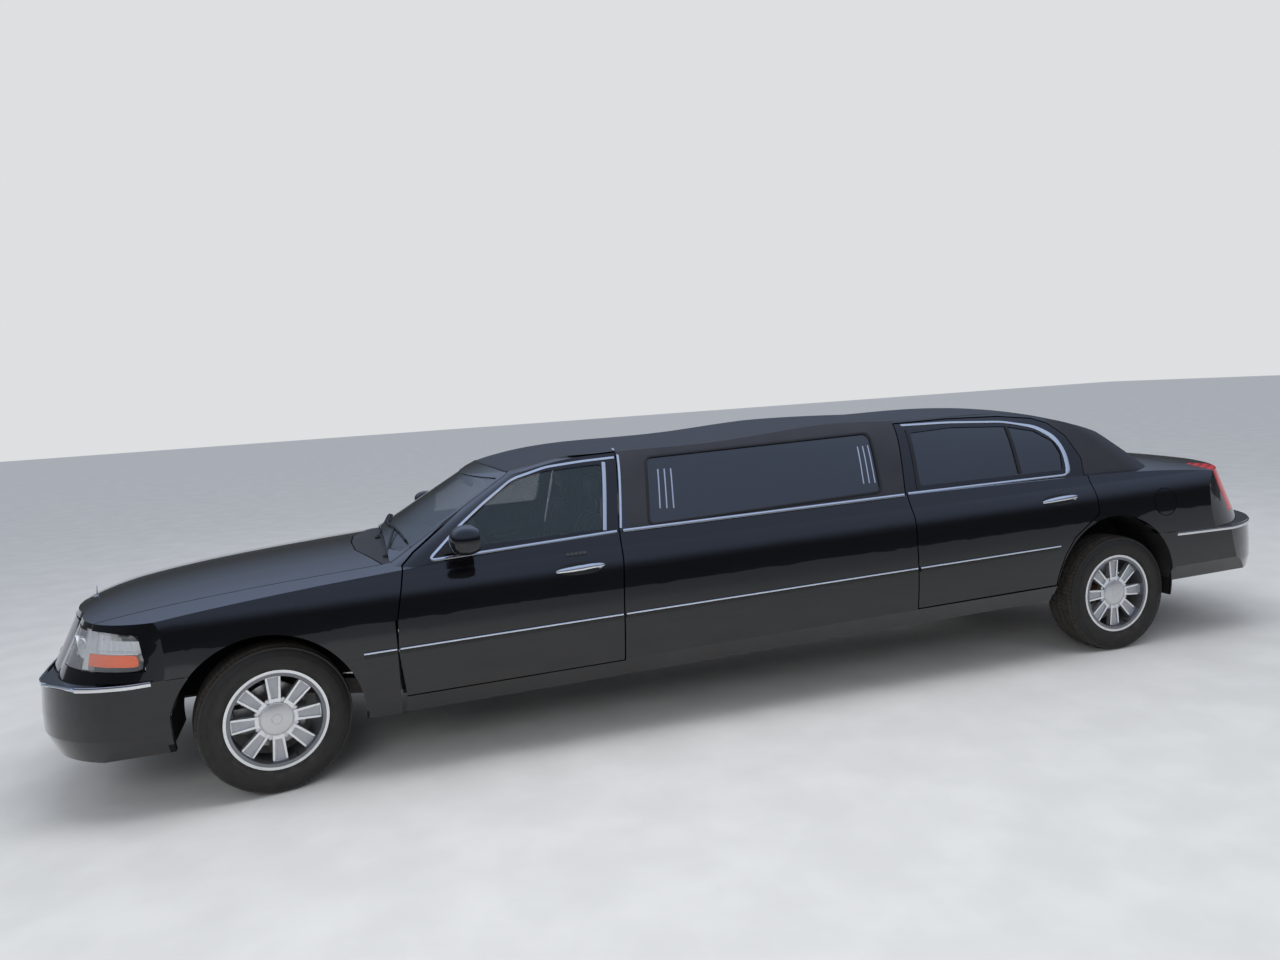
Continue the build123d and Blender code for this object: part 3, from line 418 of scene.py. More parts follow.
slots = {finish.name: slot for slot, finishes in {      # the part's material slot of each finish
    "black_paint": (paint,), "bumper_plastic": (rubber, plateWhite), "cabin_plastic": (plastic, wood),
    "cabin_leather": (leather,), "floor_carpet": (carpet,), "chassis_black": (underBlack,),
    "alloy": (capFinish,), "dark_glass": (darkGlass,), "lamp_clear": (lensClear,),
    "lamp_red": (lensAmber,), "bare_iron": (exhaustSteel,),
    "chrome": (chrome, brightBar, mirrorSilver, paintedBrightReflector),
}.items() for finish in finishes}
print("materials made:", len(bpy.data.materials))


# CAD nodes keep their shape and get their finish

def coat(material, *names):
    for name in names:
        mesh = nodes[name].data
        mesh.materials.clear()
        mesh.materials.append(material)


def both(*names):
    return [f"{name}_{hand}" for name in names for hand, side in hands]


coat(paint, "fenders", "quarter_panels", "stretch_sides", "hood", "trunk_lid", "fuel_flap", "front_bumper",
     "rear_bumper", *both("front_door", "rear_door", "mirror"))
coat(roofFinish, "roof")
coat(fixedGlass, "fixed_glass")
coat(clearGlass, *both("front_door_glass"))
coat(darkGlass, *both("rear_door_glass"))
coat(chrome, "grille")
coat(underBlack, "frame", "fuel_tank", "front_suspension")
coat(iron, "engine", "propeller_shaft", "rear_axle", *both("knuckle"))
coat(exhaustSteel, "exhaust")
coat(carpet, "floor")
coat(plastic, "dashboard", "steering_wheel", "partition")
coat(lensRed, "tail_lamps")
coat(lensClear, "headlamps")
for spot in wheelPlaces():
    coat(makeAlloy(spot), "wheel_" + spot[0])
    coat(makeTyre(spot), "tyre_" + spot[0])
    coat(makeIron("disc_" + spot[0], spot), "brake_disc_" + spot[0])
print("CAD nodes coated")


# making pieces

def placed(name, data):
    made = bpy.data.objects.new(name, data)
    bpy.context.scene.collection.objects.link(made)
    return made


def piece(name, bm, material, body="body_shell", creased=35, slot=None):
    # a mesh object that rides on a body; a slot is looked up from its finish unless one is given, but it is
    # not kept on the piece
    mesh = bpy.data.meshes.new(name)
    bm.to_mesh(mesh)
    bm.free()
    mesh.materials.append(material)
    mesh.shade_smooth()
    mesh.set_sharp_from_angle(angle=radians(creased))
    made = placed(name, mesh)
    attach(made, body)
    slot = slot or slots[material.name]
    return made


def probe(*names):
    # the CAD faces of some nodes as a tree, for finding where trim lies on them
    bm = bmesh.new()
    for name in names:
        bm.from_mesh(nodes[name].data)
    tree = BVHTree.FromBMesh(bm)
    bm.free()
    return tree


def cast(tree, start, way):
    hit, normal = tree.ray_cast(Vector(start), Vector(way).normalized())[:2]
    if hit is None:
        return None
    return hit, normal if normal.dot(Vector(way)) < 0 else -normal


outside, above, inside = 1.4, 2.0, 0.45          # where rays start: beside the car, over it, in the cabin


def onSide(tree, x, z, side):
    return cast(tree, (x, side * outside, z), (0, -side, 0))


def onTop(tree, x, y):
    return cast(tree, (x, y, above), (0, 0, -1))


def inDoor(tree, x, z, side):
    return cast(tree, (x, side * inside, z), (0, side, 0))[0]


def framed(spot, normal, along, wide=1.0, high=1.0, lift=0.0):
    # a matrix with its axes across the trim, out of the body and along the trim
    out = (normal - along * normal.dot(along)).normalized()
    turn = Matrix((out.cross(along), out, along)).transposed().to_4x4()
    return Matrix.Translation(spot + out * lift) @ turn @ Matrix.Diagonal((wide, high, 1.0, 1.0))


def laidFrames(hits, closed=False, widths=None, lift=0.0):
    found, count = [], len(hits)
    for i, (spot, normal) in enumerate(hits):
        before = hits[i - 1][0] if closed or i else spot
        after = hits[(i + 1) % count][0] if closed or i < count - 1 else spot
        wide = widths[i] if widths else 1.0
        found.append(framed(spot, normal, (after - before).normalized(), wide, lift=lift))
    return found


def only(made, kind):
    # the Vert, Edge or Face elements of what an operator made
    return [g for g in made if isinstance(g, getattr(bmesh.types, "BM" + kind))]


def raised(bm, faces, way):
    # faces drawn out along a way, with walls behind them
    made = bmesh.ops.extrude_face_region(bm, geom=faces)["geom"]
    bmesh.ops.translate(bm, vec=way, verts=only(made, "Vert"))
    return only(made, "Face")


def sweep(profile, places, closed=False):
    # a profile carried from place to place, with its ends capped or joined
    bm = bmesh.new()
    ring = [bm.verts.new((u, v, 0)) for u, v in profile]
    edges = [bm.edges.new((ring[i - 1], ring[i])) for i in range(len(ring))]
    bmesh.ops.transform(bm, matrix=places[0], verts=ring)
    first = list(edges)
    for before, after in zip(places, places[1:]):
        made = bmesh.ops.extrude_edge_only(bm, edges=edges)["geom"]
        ring = only(made, "Vert")
        edges = [edge for edge in only(made, "Edge") if set(edge.verts) <= set(ring)]
        bmesh.ops.transform(bm, matrix=after @ before.inverted(), verts=ring)
    if closed:
        bmesh.ops.bridge_loops(bm, edges=first + edges)
    else:
        bmesh.ops.holes_fill(bm, edges=bm.edges[:], sides=0)
    return outward(bm)


def boxForm(low, high, bevel=0.004, segments=2):
    # a box between two corners with all its edges rounded
    bm = bmesh.new()
    bmesh.ops.create_cube(bm, size=1.0)
    middle = (Vector(low) + Vector(high)) / 2
    size = Vector(high) - Vector(low)
    moved(bm, Matrix.Translation(middle) @ Matrix.Diagonal((*size, 1)))
    bmesh.ops.bevel(bm, geom=bm.edges[:], offset=bevel, segments=segments, profile=0.5, affect="EDGES")
    return outward(bm)


def corners(box, y=0.0):
    # a box's low and high corner, given by distance from the front axle, way from y, and height
    return [(fore(d), y + across, z) for d, across, z in box]


def rowOf(count, step, low, high, bevel=0.004, segments=2):
    # the same box again and again, each a step further on
    return [boxForm(Vector(low) + Vector(step) * k, Vector(high) + Vector(step) * k, bevel, segments)
            for k in range(count)]


def joined(*forms):
    # several meshes as one
    whole = bmesh.new()
    for bm in forms:
        mesh = bpy.data.meshes.new("part")
        bm.to_mesh(mesh)
        bm.free()
        whole.from_mesh(mesh)
        bpy.data.meshes.remove(mesh)
    return whole


def corner(before, here, after, bend, share, steps):
    # the points of a round corner that takes up no more than a share of each leg
    back, ahead = before - here, after - here
    reach = min(bend, back.length * share, ahead.length * share)
    begin, end = here + back.normalized() * reach, here + ahead.normalized() * reach
    return [begin * (1 - t) ** 2 + here * 2 * t * (1 - t) + end * t * t
            for t in (k / steps for k in range(steps + 1))]


def oval(halfWide, halfHigh, segments):
    return [(halfWide * cos(2 * pi * k / segments), halfHigh * sin(2 * pi * k / segments))
            for k in range(segments)]


def tube(points, radius, segments=12, radii=None, flat=1.0, bend=0.02):
    # a round bar along a line of points, its corners rounded
    spots = [Vector(point) for point in points]
    path = [spots[0]]
    for before, here, after in zip(spots, spots[1:], spots[2:]):
        path += corner(before, here, after, bend, 0.45, 4)
    path.append(spots[-1])
    up = Vector((0, 0, 1)) if abs((path[-1] - path[0]).normalized().z) < 0.9 else Vector((1, 0, 0))
    sizes = radii or [1.0] * len(path)
    frames = [place @ Matrix.Diagonal((size, size, 1, 1))
              for place, size in zip(laidFrames([(spot, up) for spot in path]), sizes)]
    return sweep(oval(radius, radius * flat, segments), frames)


def moved(bm, place):
    bmesh.ops.transform(bm, matrix=place, verts=bm.verts[:])
    return bm


def outward(bm):
    bmesh.ops.recalc_face_normals(bm, faces=bm.faces[:])
    return bm


def facingAhead(x, y, z):            # a place whose own Z runs along the car
    return Matrix.Translation((x, y, z)) @ Matrix.Rotation(pi / 2, 4, "Y")


def disc(radius, depth, place, segments=32, rim=0.0015):
    # a short round boss with a rounded rim
    bm = bmesh.new()
    bmesh.ops.create_cone(bm, cap_ends=True, segments=segments, radius1=radius, radius2=radius,
                          depth=depth)
    edges = [edge for edge in bm.edges if abs(edge.verts[0].co.z - edge.verts[1].co.z) < depth / 2]
    bmesh.ops.bevel(bm, geom=edges, offset=rim, segments=2, profile=0.5, affect="EDGES")
    return moved(bm, place)


def cutOff(bm, x, way):
    # what lies past a plane across X goes, and the edges of the cut are given
    cut = bmesh.ops.bisect_plane(bm, geom=bm.verts[:] + bm.edges[:] + bm.faces[:], plane_co=(x, 0, 0),
                                 plane_no=(way, 0, 0), clear_outer=True)
    return only(cut["geom_cut"], "Edge")


def sheetOn(spotAt, columns, rows, thickness):
    # a thin panel whose points are found by a rule of two shares from 0 to 1
    bm = bmesh.new()
    bmesh.ops.create_grid(bm, x_segments=columns, y_segments=rows, size=1.0)
    for vert in bm.verts:
        vert.co = spotAt((vert.co.x + 1) / 2, (vert.co.y + 1) / 2)
    return thick(bm, thickness)


def thick(bm, thickness):
    bmesh.ops.solidify(bm, geom=bm.faces[:], thickness=thickness)
    return outward(bm)


def barProfile(width, height, sink=0.0015):
    # a low bar with rounded shoulders, its foot sunk a little in the panel
    half, turn = width / 2, min(width, height) * 0.35
    flank = [(half, -sink), (half, height - turn), (half - turn * 0.3, height - turn * 0.3),
             (half - turn, height)]
    return [(-half, -sink)] + flank + [(0, height * 1.06)] + [(-x, z) for x, z in reversed(flank[1:])]


def rounded(points, radius, closed, grow):
    # an outline moved out by grow, with round corners, as points 3 cm apart or less
    spots = [Vector(point) for point in points]
    count = len(spots)
    if grow:
        area = sum(a.x * b.y - b.x * a.y for a, b in zip(spots, spots[1:] + spots[:1]))
        way = grow if area > 0 else -grow
        grown = []
        for i, here in enumerate(spots):
            back, ahead = here - spots[i - 1], spots[(i + 1) % count] - here
            one = Vector((back.y, -back.x)).normalized()
            two = Vector((ahead.y, -ahead.x)).normalized()
            grown.append(here + (one + two) * way / (1 + one.dot(two)))
        spots = grown
    turned = []
    for i, here in enumerate(spots):
        if closed or 0 < i < count - 1:
            turned += corner(spots[i - 1], here, spots[(i + 1) % count], radius, 0.48, 5)
        else:
            turned.append(here)
    found = []
    for a, b in zip(turned, turned[1:] + (turned[:1] if closed else [])):
        parts = max(1, int((b - a).length / 0.03))
        found += [a.lerp(b, k / parts) for k in range(parts)]
    return found if closed else found + [turned[-1]]


def trim(name, tree, line, side, width, height, material, body="body_shell", radius=0.03, closed=False,
         grow=0.0, widths=None):
    # a bar laid on the car's side along a line of distances from the front axle, and heights
    path = rounded([(fore(d), z) for d, z in line], radius, closed, grow)
    hits = [hit for hit in (onSide(tree, x, z, side) for x, z in path) if hit]
    wide = [widths(hit[0].x, hit[0].z) for hit in hits] if widths else None
    bm = sweep(barProfile(width, height), laidFrames(hits, closed, wide), closed)
    return piece(name, bm, material, body)


shellTree = probe("fenders", "quarter_panels", "stretch_sides", "roof", "front_bumper", "rear_bumper")
glassTree = probe("fixed_glass")
doorTrees = {door: probe(door) for door in both("front_door", "rear_door")}
rearGlassTrees = {hand: probe("rear_door_glass_" + hand) for hand, side in hands}

# bright trim along the sides: lines are distances from the front axle, and heights

mouldingLook = dict(
    first=-0.440, z=0.6135, rise=0.0188, step=0.06,
    runs=(("fender", "body_shell", -0.440, -0.588), ("frontDoor", "front_door", -0.604, -1.692),
          ("stretch", "body_shell", -1.709, -3.392), ("rearDoor", "rear_door", -3.411, -4.350)),
    bars=(("Moulding", 0.0, 0.026, 0.007, rubber), ("MouldingBead", 0.0105, 0.009, 0.010, chrome)))
beltLine = dict(z=1.048, slope=0.0170, zero=-1.725, first=-1.752, last=-3.398, steps=24, width=0.016,
                proud=0.006)
windowTrim = {
    "frontWindowChrome": dict(
        line=((-1.722, 1.047), (-0.772, 1.006), (-0.930, 1.142), (-1.075, 1.247), (-1.235, 1.350),
              (-1.407, 1.392), (-1.598, 1.405), (-1.780, 1.411)),
        width=0.014, height=0.005, material=chrome, radius=0.04),
    "frontWindowDivider": dict(
        line=((-1.717, 1.392), (-1.690, 1.230), (-1.660, 1.058)), width=0.020, height=0.005,
        material=brightBar),
    "rearWindowChrome": dict(
        line=((-3.437, 1.078), (-4.548, 1.088), (-4.562, 1.215), (-4.526, 1.311), (-4.421, 1.381),
              (-4.214, 1.425), (-3.845, 1.447), (-3.528, 1.452)),
        width=0.014, height=0.005, material=chrome, radius=0.05),
    "rearWindowFront": dict(
        line=((-3.548, 1.425), (-3.529, 1.25), (-3.508, 1.098)), width=0.016, height=0.005,
        material=rubber),
    "rearWindowDivider": dict(
        line=((-4.223, 1.396), (-4.219, 1.25), (-4.213, 1.125)), width=0.022, height=0.008,
        material=rubber),
}
pillarStrip = dict(line=((-1.8065, 1.449), (-1.789, 1.33), (-1.767, 1.19), (-1.745, 1.060)),
                   width=0.013, height=0.006, material=chrome)
stretchSeal = dict(line=((-1.905, 1.068), (-1.955, 1.395), (-3.295, 1.424), (-3.270, 1.110)),
                   width=0.013, height=0.004, material=rubber, radius=0.035, closed=True, grow=0.006)
windowBars = (((-2.004, 1.333), (-1.975, 1.136)), ((-2.039, 1.332), (-2.012, 1.133)),
              ((-2.075, 1.331), (-2.049, 1.130)), ((-3.203, 1.357), (-3.180, 1.155)),
              ((-3.236, 1.358), (-3.216, 1.154)), ((-3.269, 1.360), (-3.252, 1.153)))


def beltPath(side):
    # along the joint of roof and body, over the further out of the two
    found = []
    for k in range(beltLine["steps"] + 1):
        d = beltLine["first"] + (beltLine["last"] - beltLine["first"]) * k / beltLine["steps"]
        z = beltLine["z"] + (beltLine["zero"] - d) * beltLine["slope"]
        near = [onSide(shellTree, fore(d), z + way, side)[0].y * side for way in (-0.006, 0.0, 0.006)]
        found.append((Vector((fore(d), side * max(near), z)), Vector((0, side, 0.35)).normalized()))
    return found


def widerBehind(x, z):
    # the rear window's chrome is twice as wide where it goes round the pillar
    return 1.0 + 1.1 * max(0.0, min(1.0, (fore(-4.30) - x) / 0.20)) * (z > 1.1)


for hand, side in hands:
    for label, place, first, last in mouldingLook["runs"]:
        body = place if place == "body_shell" else f"{place}_{hand}"
        count = max(2, int(abs(last - first) / mouldingLook["step"]))
        runs = [first + (last - first) * k / count for k in range(count + 1)]
        for part, up, width, proud, finish in mouldingLook["bars"]:
            line = [(d, mouldingLook["z"] + (mouldingLook["first"] - d) * mouldingLook["rise"] + up)
                    for d in runs]
            trim(f"{label}{part}_{hand}", doorTrees.get(body, shellTree), line, side, width, proud, finish,
                 body)
    for name, look in windowTrim.items():
        door = f"{name.split('Window')[0]}_door_{hand}"
        tree = rearGlassTrees[hand] if name == "rearWindowDivider" else doorTrees[door]
        trim(f"{name}_{hand}", tree, side=side, body=door,
             widths=widerBehind if name == "rearWindowChrome" else None, **look)
    belt = sweep(barProfile(beltLine["width"], beltLine["proud"], 0.004), laidFrames(beltPath(side)))
    piece(f"stretchBelt_{hand}", belt, chrome)
    trim(f"pillarStrip_{hand}", shellTree, side=side, **pillarStrip)
    trim(f"stretchWindowSeal_{hand}", shellTree, side=side, **stretchSeal)
    for number, (high, low) in enumerate(windowBars):
        middle = ((high[0] + low[0]) / 2, (high[1] + low[1]) / 2)
        trim(f"windowBar{number}_{hand}", glassTree, (high, middle, low), side, 0.0075, 0.003, brightBar)
print("side trim laid")


# bumper strips, round the ends of the car

def onNose(tree, angle, z, centre, reach=2.0):
    # the end of the car met from outside, along a level line through centre at an angle from +X
    way = Vector((cos(angle), sin(angle), 0))
    return cast(tree, Vector((*centre, z)) + way * reach, -way)


bumperStrips = {
    "front": dict(centre=(fore(0.05), 0.0), sideX=0.455, heights=(0.596, 0.622), width=0.022, ahead=0.0,
                  tree=probe("front_bumper")),
    "rear": dict(centre=(fore(-5.10), 0.0), sideX=-5.215, heights=(0.668, 0.676), width=0.020, ahead=pi,
                 tree=probe("rear_bumper")),
}
stripSteps, stripProud = 60, 0.007


def bumperPath(look, side):
    # from the car's side, round the corner, to the middle of its end
    middle, sides = look["heights"]
    begin, finish = atan2(side, fore(look["sideX"]) - look["centre"][0]), look["ahead"] * side
    hits = []
    for share in (k / stripSteps for k in range(stripSteps + 1)):
        z = sides + (middle - sides) * min(1.0, share * 1.6)
        hits.append(onNose(look["tree"], begin + (finish - begin) * share, z, look["centre"]))
    return [hit for hit in hits if hit]


for place, look in bumperStrips.items():
    for hand, side in hands:
        strip = sweep(barProfile(look["width"], stripProud), laidFrames(bumperPath(look, side)))
        piece(f"{place}BumperStrip_{hand}", strip, chrome)
print("bumper strips laid")


# door handles and the key pad

handleLook = {
    "front": dict(x=fore(-1.4965), z=0.897, half=0.125, tilt=0.005),
    "rear": dict(x=fore(-4.387), z=0.962, half=0.125, tilt=0.006),
}
keyLook = dict(line=((-1.433, 0.965), (-1.489, 0.966), (-1.545, 0.967)), first=-1.446, step=0.0215, z=0.9655,
               rise=0.0004)


def ellipsePatch(tree, side, x, z, halfX, halfZ, lift, thickness, segments=24):
    # a thin plate laid on the side, round or oval
    bm = bmesh.new()
    bmesh.ops.create_circle(bm, cap_ends=True, segments=segments, radius=1.0)
    bmesh.ops.inset_region(bm, faces=bm.faces[:], thickness=0.45)
    for vert in bm.verts:
        spot, normal = onSide(tree, x + vert.co.x * halfX, z + vert.co.y * halfZ, side)
        vert.co = spot + normal * lift
    raised(bm, bm.faces[:], (0, side * thickness, 0))
    return outward(bm)


def handleBar(tree, side, look):
    # a bowed pull, thick in the middle, with tapered ends that stand on the door
    places, steps, back = [], 26, Vector((-1, 0, 0))
    for t in (k / steps for k in range(steps + 1)):
        x = look["x"] + look["half"] * (1 - 2 * t)
        spot, normal = onSide(tree, x, look["z"] + look["tilt"] * (2 * t - 1), side)
        bow = sin(pi * t)
        girth = 0.35 + 0.65 * bow ** 0.45
        places.append(framed(spot, normal, back, girth, girth, 0.004 + 0.024 * bow ** 0.6))
    return sweep(oval(0.0135, 0.0065, 16), places)


for hand, side in hands:
    for place, look in handleLook.items():
        door = f"{place}_door_{hand}"
        tree, x, z = doorTrees[door], look["x"], look["z"]
        cup = ellipsePatch(tree, side, x, z, 0.122, 0.030, 0.0002, 0.0012)
        piece(f"{place}HandleCup_{hand}", cup, rubber, door)
        piece(f"{place}Handle_{hand}", handleBar(tree, side, look), chrome, door)
        lock = ellipsePatch(tree, side, x - 0.100, z + 0.004, 0.013, 0.013, 0.001, 0.004)
        piece(f"{place}Lock_{hand}", lock, brightBar, door)
keyDoor = "front_door_left"
trim("keyPad", doorTrees[keyDoor], keyLook["line"], 1, 0.022, 0.0025, rubber, keyDoor)
for number in range(5):
    key = ellipsePatch(doorTrees[keyDoor], 1, fore(keyLook["first"] - keyLook["step"] * number),
                       keyLook["z"] + keyLook["rise"] * number, 0.0085, 0.0065, 0.0022, 0.0012, 12)
    piece(f"key{number}", key, plastic, keyDoor)
print("handles made")


# tyres with cut tread, hub caps and valves

treadLook = dict(blocks=84, gap=0.0016, depth=0.008, radius=0.329,
                 ribs=((-98, -66), (-58, -27), (-19, 19), (27, 58), (66, 98)))      # mm across the tread
sidewall = [(0.217, 0.086), (0.2355, 0.0895), (0.2385, 0.0965), (0.2455, 0.0985), (0.2475, 0.1035),
            (0.262, 0.1085), (0.2625, 0.1096), (0.266, 0.1104), (0.2675, 0.1098), (0.283, 0.1120),
            (0.297, 0.1118), (0.2975, 0.1125), (0.3015, 0.1122), (0.302, 0.1108), (0.316, 0.1070),
            (0.325, 0.1028)]
treadBase = [(0.3305, 0.098), (0.3385, 0.066), (0.339, 0.058), (0.339, 0.027), (0.339, 0.019)]


def wheelSpot(spot):
    name, x, y, turn = spot
    return Matrix.Translation((x, y, axleHeight)) @ Matrix.Rotation(turn, 4, "Z")


def lathe(bm, outline, steps):
    # an outline of radius and offset turned about the wheel's axis
    verts = [bm.verts.new((radius, offset, 0)) for radius, offset in outline]
    edges = [bm.edges.new(pair) for pair in zip(verts, verts[1:])]
    bmesh.ops.spin(bm, geom=verts + edges, cent=(0, 0, 0), axis=(0, 1, 0), dvec=(0, 0, 0),
                   angle=2 * pi, steps=steps, use_merge=True)
    bmesh.ops.remove_doubles(bm, verts=bm.verts[:], dist=0.00001)
    outward(bm)


def tyreMesh():
    half = sidewall + treadBase
    outline = half + [(radius, -offset) for radius, offset in reversed(half)]
    bm = bmesh.new()
    lathe(bm, outline + [half[0]], treadLook["blocks"])
    for low, high in treadLook["ribs"]:
        middle = (low + high) / 2000
        centres = [(face, face.calc_center_median()) for face in bm.faces]
        chosen = [face for face, spot in centres
                  if abs(spot.y - middle) < 0.004 and sqrt(spot.x ** 2 + spot.z ** 2) > treadLook["radius"]]
        bmesh.ops.inset_individual(bm, faces=chosen, thickness=treadLook["gap"], depth=treadLook["depth"])
    return bm


def capMesh(side):
    outline = [(0.0785, 0.0600), (0.0785, 0.0735), (0.0770, 0.0750), (0.0745, 0.0752), (0.0732, 0.0725),
               (0.0715, 0.0725), (0.0700, 0.0750), (0.0560, 0.0772), (0.0380, 0.0790), (0.0245, 0.0797),
               (0.0235, 0.0785), (0.0220, 0.0785), (0.0210, 0.0798), (0.0, 0.0802)]
    bm = bmesh.new()
    lathe(bm, [(0.0, 0.0600)] + outline, 72)
    return outward(moved(bm, Matrix.Diagonal((1, side, 1, 1))))


def hubPlateMesh(side):
    # the machined plate between the spokes' feet, with a low point between each pair
    bm, radii, points = bmesh.new(), (0.094, 0.104), 32
    ring = []
    for k in range(points):
        radius, angle = radii[k % 4 == 2], 2 * pi * k / points
        ring.append(bm.verts.new((radius * cos(angle), 0.050, radius * sin(angle))))
    front = raised(bm, [bm.faces.new(ring)], (0, 0.018, 0))
    bmesh.ops.inset_region(bm, faces=front, thickness=0.003, depth=0.0022)
    return outward(moved(bm, Matrix.Diagonal((1, side, 1, 1))))


def valveMesh(side):
    bm = bmesh.new()
    bmesh.ops.create_cone(bm, cap_ends=True, segments=12, radius1=0.0055, radius2=0.0038, depth=0.034)
    caps = [face for face in bm.faces if len(face.verts) > 4 and face.calc_center_median().z > 0]
    bmesh.ops.inset_region(bm, faces=caps, thickness=0.001)
    bmesh.ops.translate(bm, vec=(0, 0, 0.003), verts=[vert for face in caps for vert in face.verts])
    hole = radians(247.5)
    out = Matrix.Translation((0.196 * cos(hole), side * 0.078, 0.196 * sin(hole)))
    return outward(moved(bm, out @ Matrix.Rotation(-side * pi / 2, 4, "X")))


for spot in wheelPlaces():
    name, side = spot[0], 1 if spot[2] > 0 else -1
    body, place = "wheel_" + name, wheelSpot(spot)
    tread = nodes["tyre_" + name].data.materials[0]
    tyre = piece("treadedTyre_" + name, moved(tyreMesh(), place), tread, body, creased=28, slot="tyre")
    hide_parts("tyre_" + name)
    for label, bm, finish, slot in (("hubCap_", capMesh(side), capFinish, "alloy"),
                                    ("hubPlate_", hubPlateMesh(side), capFinish, "alloy"),
                                    ("valve_", valveMesh(side), rubber, "tyre")):
        piece(label + name, moved(bm, place), finish, body, slot=slot)
print("wheels dressed")


# lamps

lampLook = dict(centre=(fore(0.52), 0.52), high=0.8350, slant=0.36, bowls=(38, 20), bowlZ=0.756)
lampTree = probe("headlamps")
lampSheets = {                       # angles in degrees from ahead, and how deep the sheet lies
    "Lens": dict(angles=(92.6, 10), heights=(0.6745, 0.8350), depth=-0.0005, grid=(40, 14), rounding=0.045,
                 thickness=0.003, finish=lensClear, creased=60),
    "Reflector": dict(angles=(92.6, 10), heights=(0.668, 0.838), depth=0.040, grid=(14, 4), facet=0.004,
                      thickness=0.002, finish=paintedBrightReflector, creased=20),
    "Amber": dict(angles=(90, 50), heights=(0.692, 0.744), depth=0.006, grid=(16, 4), rounding=0.05,
                  thickness=0.010, finish=lensAmber, creased=60),
    "Shelf": dict(angles=(91, 48), heights=(0.746, 0.751), depth=0.005, grid=(12, 1), thickness=0.030,
                  finish=paintedBrightReflector, creased=30),
    "Post": dict(angles=(50, 46), heights=(0.676, 0.832), depth=0.005, grid=(2, 6), thickness=0.030,
                 finish=paintedBrightReflector, creased=30),
    "Case": dict(angles=(92, 8), heights=(0.670, 0.837), depth=0.046, grid=(14, 3), thickness=0.001,
                 finish=rubber, creased=35, tree=probe("headlamps", "fenders")),
}


def lampWay(angle, z, side):
    # out from the lamp's centre at a height
    way = Vector((cos(angle), side * sin(angle), 0))
    return way, Vector((lampLook["centre"][0], side * lampLook["centre"][1], z))


def lampSheet(side, angles, heights, depth, grid, thickness, rounding=0.0, facet=0.0, tree=lampTree):
    # a sheet that follows the lamp's face at a depth under it, its cells set back in facets
    first, last = radians(angles[0]), radians(angles[1])
    bm = bmesh.new()
    bmesh.ops.create_grid(bm, x_segments=grid[0], y_segments=grid[1], size=1.0)
    for vert in bm.verts:
        u, v = vert.co.x, vert.co.y
        if rounding:
            u, v = u * (1 - rounding * abs(v) ** 6), v * (1 - 2.4 * rounding * abs(u) ** 12)
        z = heights[0] + (heights[1] - heights[0]) * (v + 1) / 2
        start = first + lampLook["slant"] * (lampLook["high"] - z)
        way, centre = lampWay(start + (last - start) * (u + 1) / 2, z, side)
        hit = cast(tree, centre + way, -way)
        spot = hit[0] if hit else centre + way * 0.3
        vert.co = spot - way * depth
    outward(bm)
    inside = Vector((lampLook["centre"][0], 0, 0.75))
    if sum(face.normal.dot(face.calc_center_median() - inside) for face in bm.faces) < 0:
        bmesh.ops.reverse_faces(bm, faces=bm.faces[:])
    if facet:
        bmesh.ops.inset_individual(bm, faces=bm.faces[:], thickness=facet, depth=-0.75 * facet)
    return thick(bm, thickness)


def ball(radius, columns, rows):
    bm = bmesh.new()
    bmesh.ops.create_uvsphere(bm, u_segments=columns, v_segments=rows, radius=radius)
    return bm


for hand, side in hands:
    for label, look in lampSheets.items():
        shape = {name: value for name, value in look.items() if name not in ("finish", "creased")}
        piece(f"headlamp{label}_{hand}", lampSheet(side, **shape), look["finish"],
                              creased=look["creased"])
    if side > 0:
        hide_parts("headlamps")
    for number, angle in enumerate(radians(degrees) for degrees in lampLook["bowls"]):
        way, centre = lampWay(angle, lampLook["bowlZ"], side)
        hit = cast(lampTree, centre + way, -way)
        turn = Matrix.Translation(hit[0] - way * 0.012) @ Matrix.Rotation(angle * side, 4, "Z")
        bowl = ball(0.046, 32, 16)
        cutOff(bowl, 0.004, 1)
        piece(f"headlampBowl{number}_{hand}", thick(moved(bowl, turn), 0.0015), paintedBrightReflector, creased=50)
        bulb = moved(ball(0.011, 20, 12), Matrix.Diagonal((1.7, 1, 1, 1)))
        bulb = moved(bulb, turn @ Matrix.Translation((-0.022, 0, 0)))
        piece(f"headlampBulb{number}_{hand}", bulb, lensClear)
print("headlamps made")


# bumper ends, carried on to the wheel arches

cheeks = {
    "front": dict(edge=fore(0.396), arch=(*archLook["centres"][0], 0.422), low=0.468, high=0.6275, way=1),
    "rear": dict(edge=rearAxle - 0.386, arch=(*archLook["centres"][1], 0.432), low=0.404, high=0.6915,
                 way=-1),
}
for hand, side in hands:
    for place, look in cheeks.items():
        tree = bumperStrips[place]["tree"]
        centreX, centreZ, radius = look["arch"]

        def cheekSpot(u, v):
            z = look["low"] + (look["high"] - look["low"]) * v
            edge = centreX + look["way"] * sqrt(radius ** 2 - (z - centreZ) ** 2)
            start = look["edge"] + look["way"] * 0.012
            spot = onSide(tree, start, z, side)[0]
            return Vector((start + (edge - start) * u, spot.y + side * 0.0006, z))

        def backSpot(u, v):
            spot = cheekSpot(1.0, v)
            return Vector((spot.x, spot.y + side * (-0.001 - 0.150 * u), spot.z))

        piece(f"{place}BumperCheek_{hand}", sheetOn(cheekSpot, 6, 12, 0.004), paint, creased=60)
        piece(f"{place}CheekBack_{hand}", sheetOn(backSpot, 4, 12, 0.003), rubber, creased=60)
print("bumper ends closed")


# mirrors

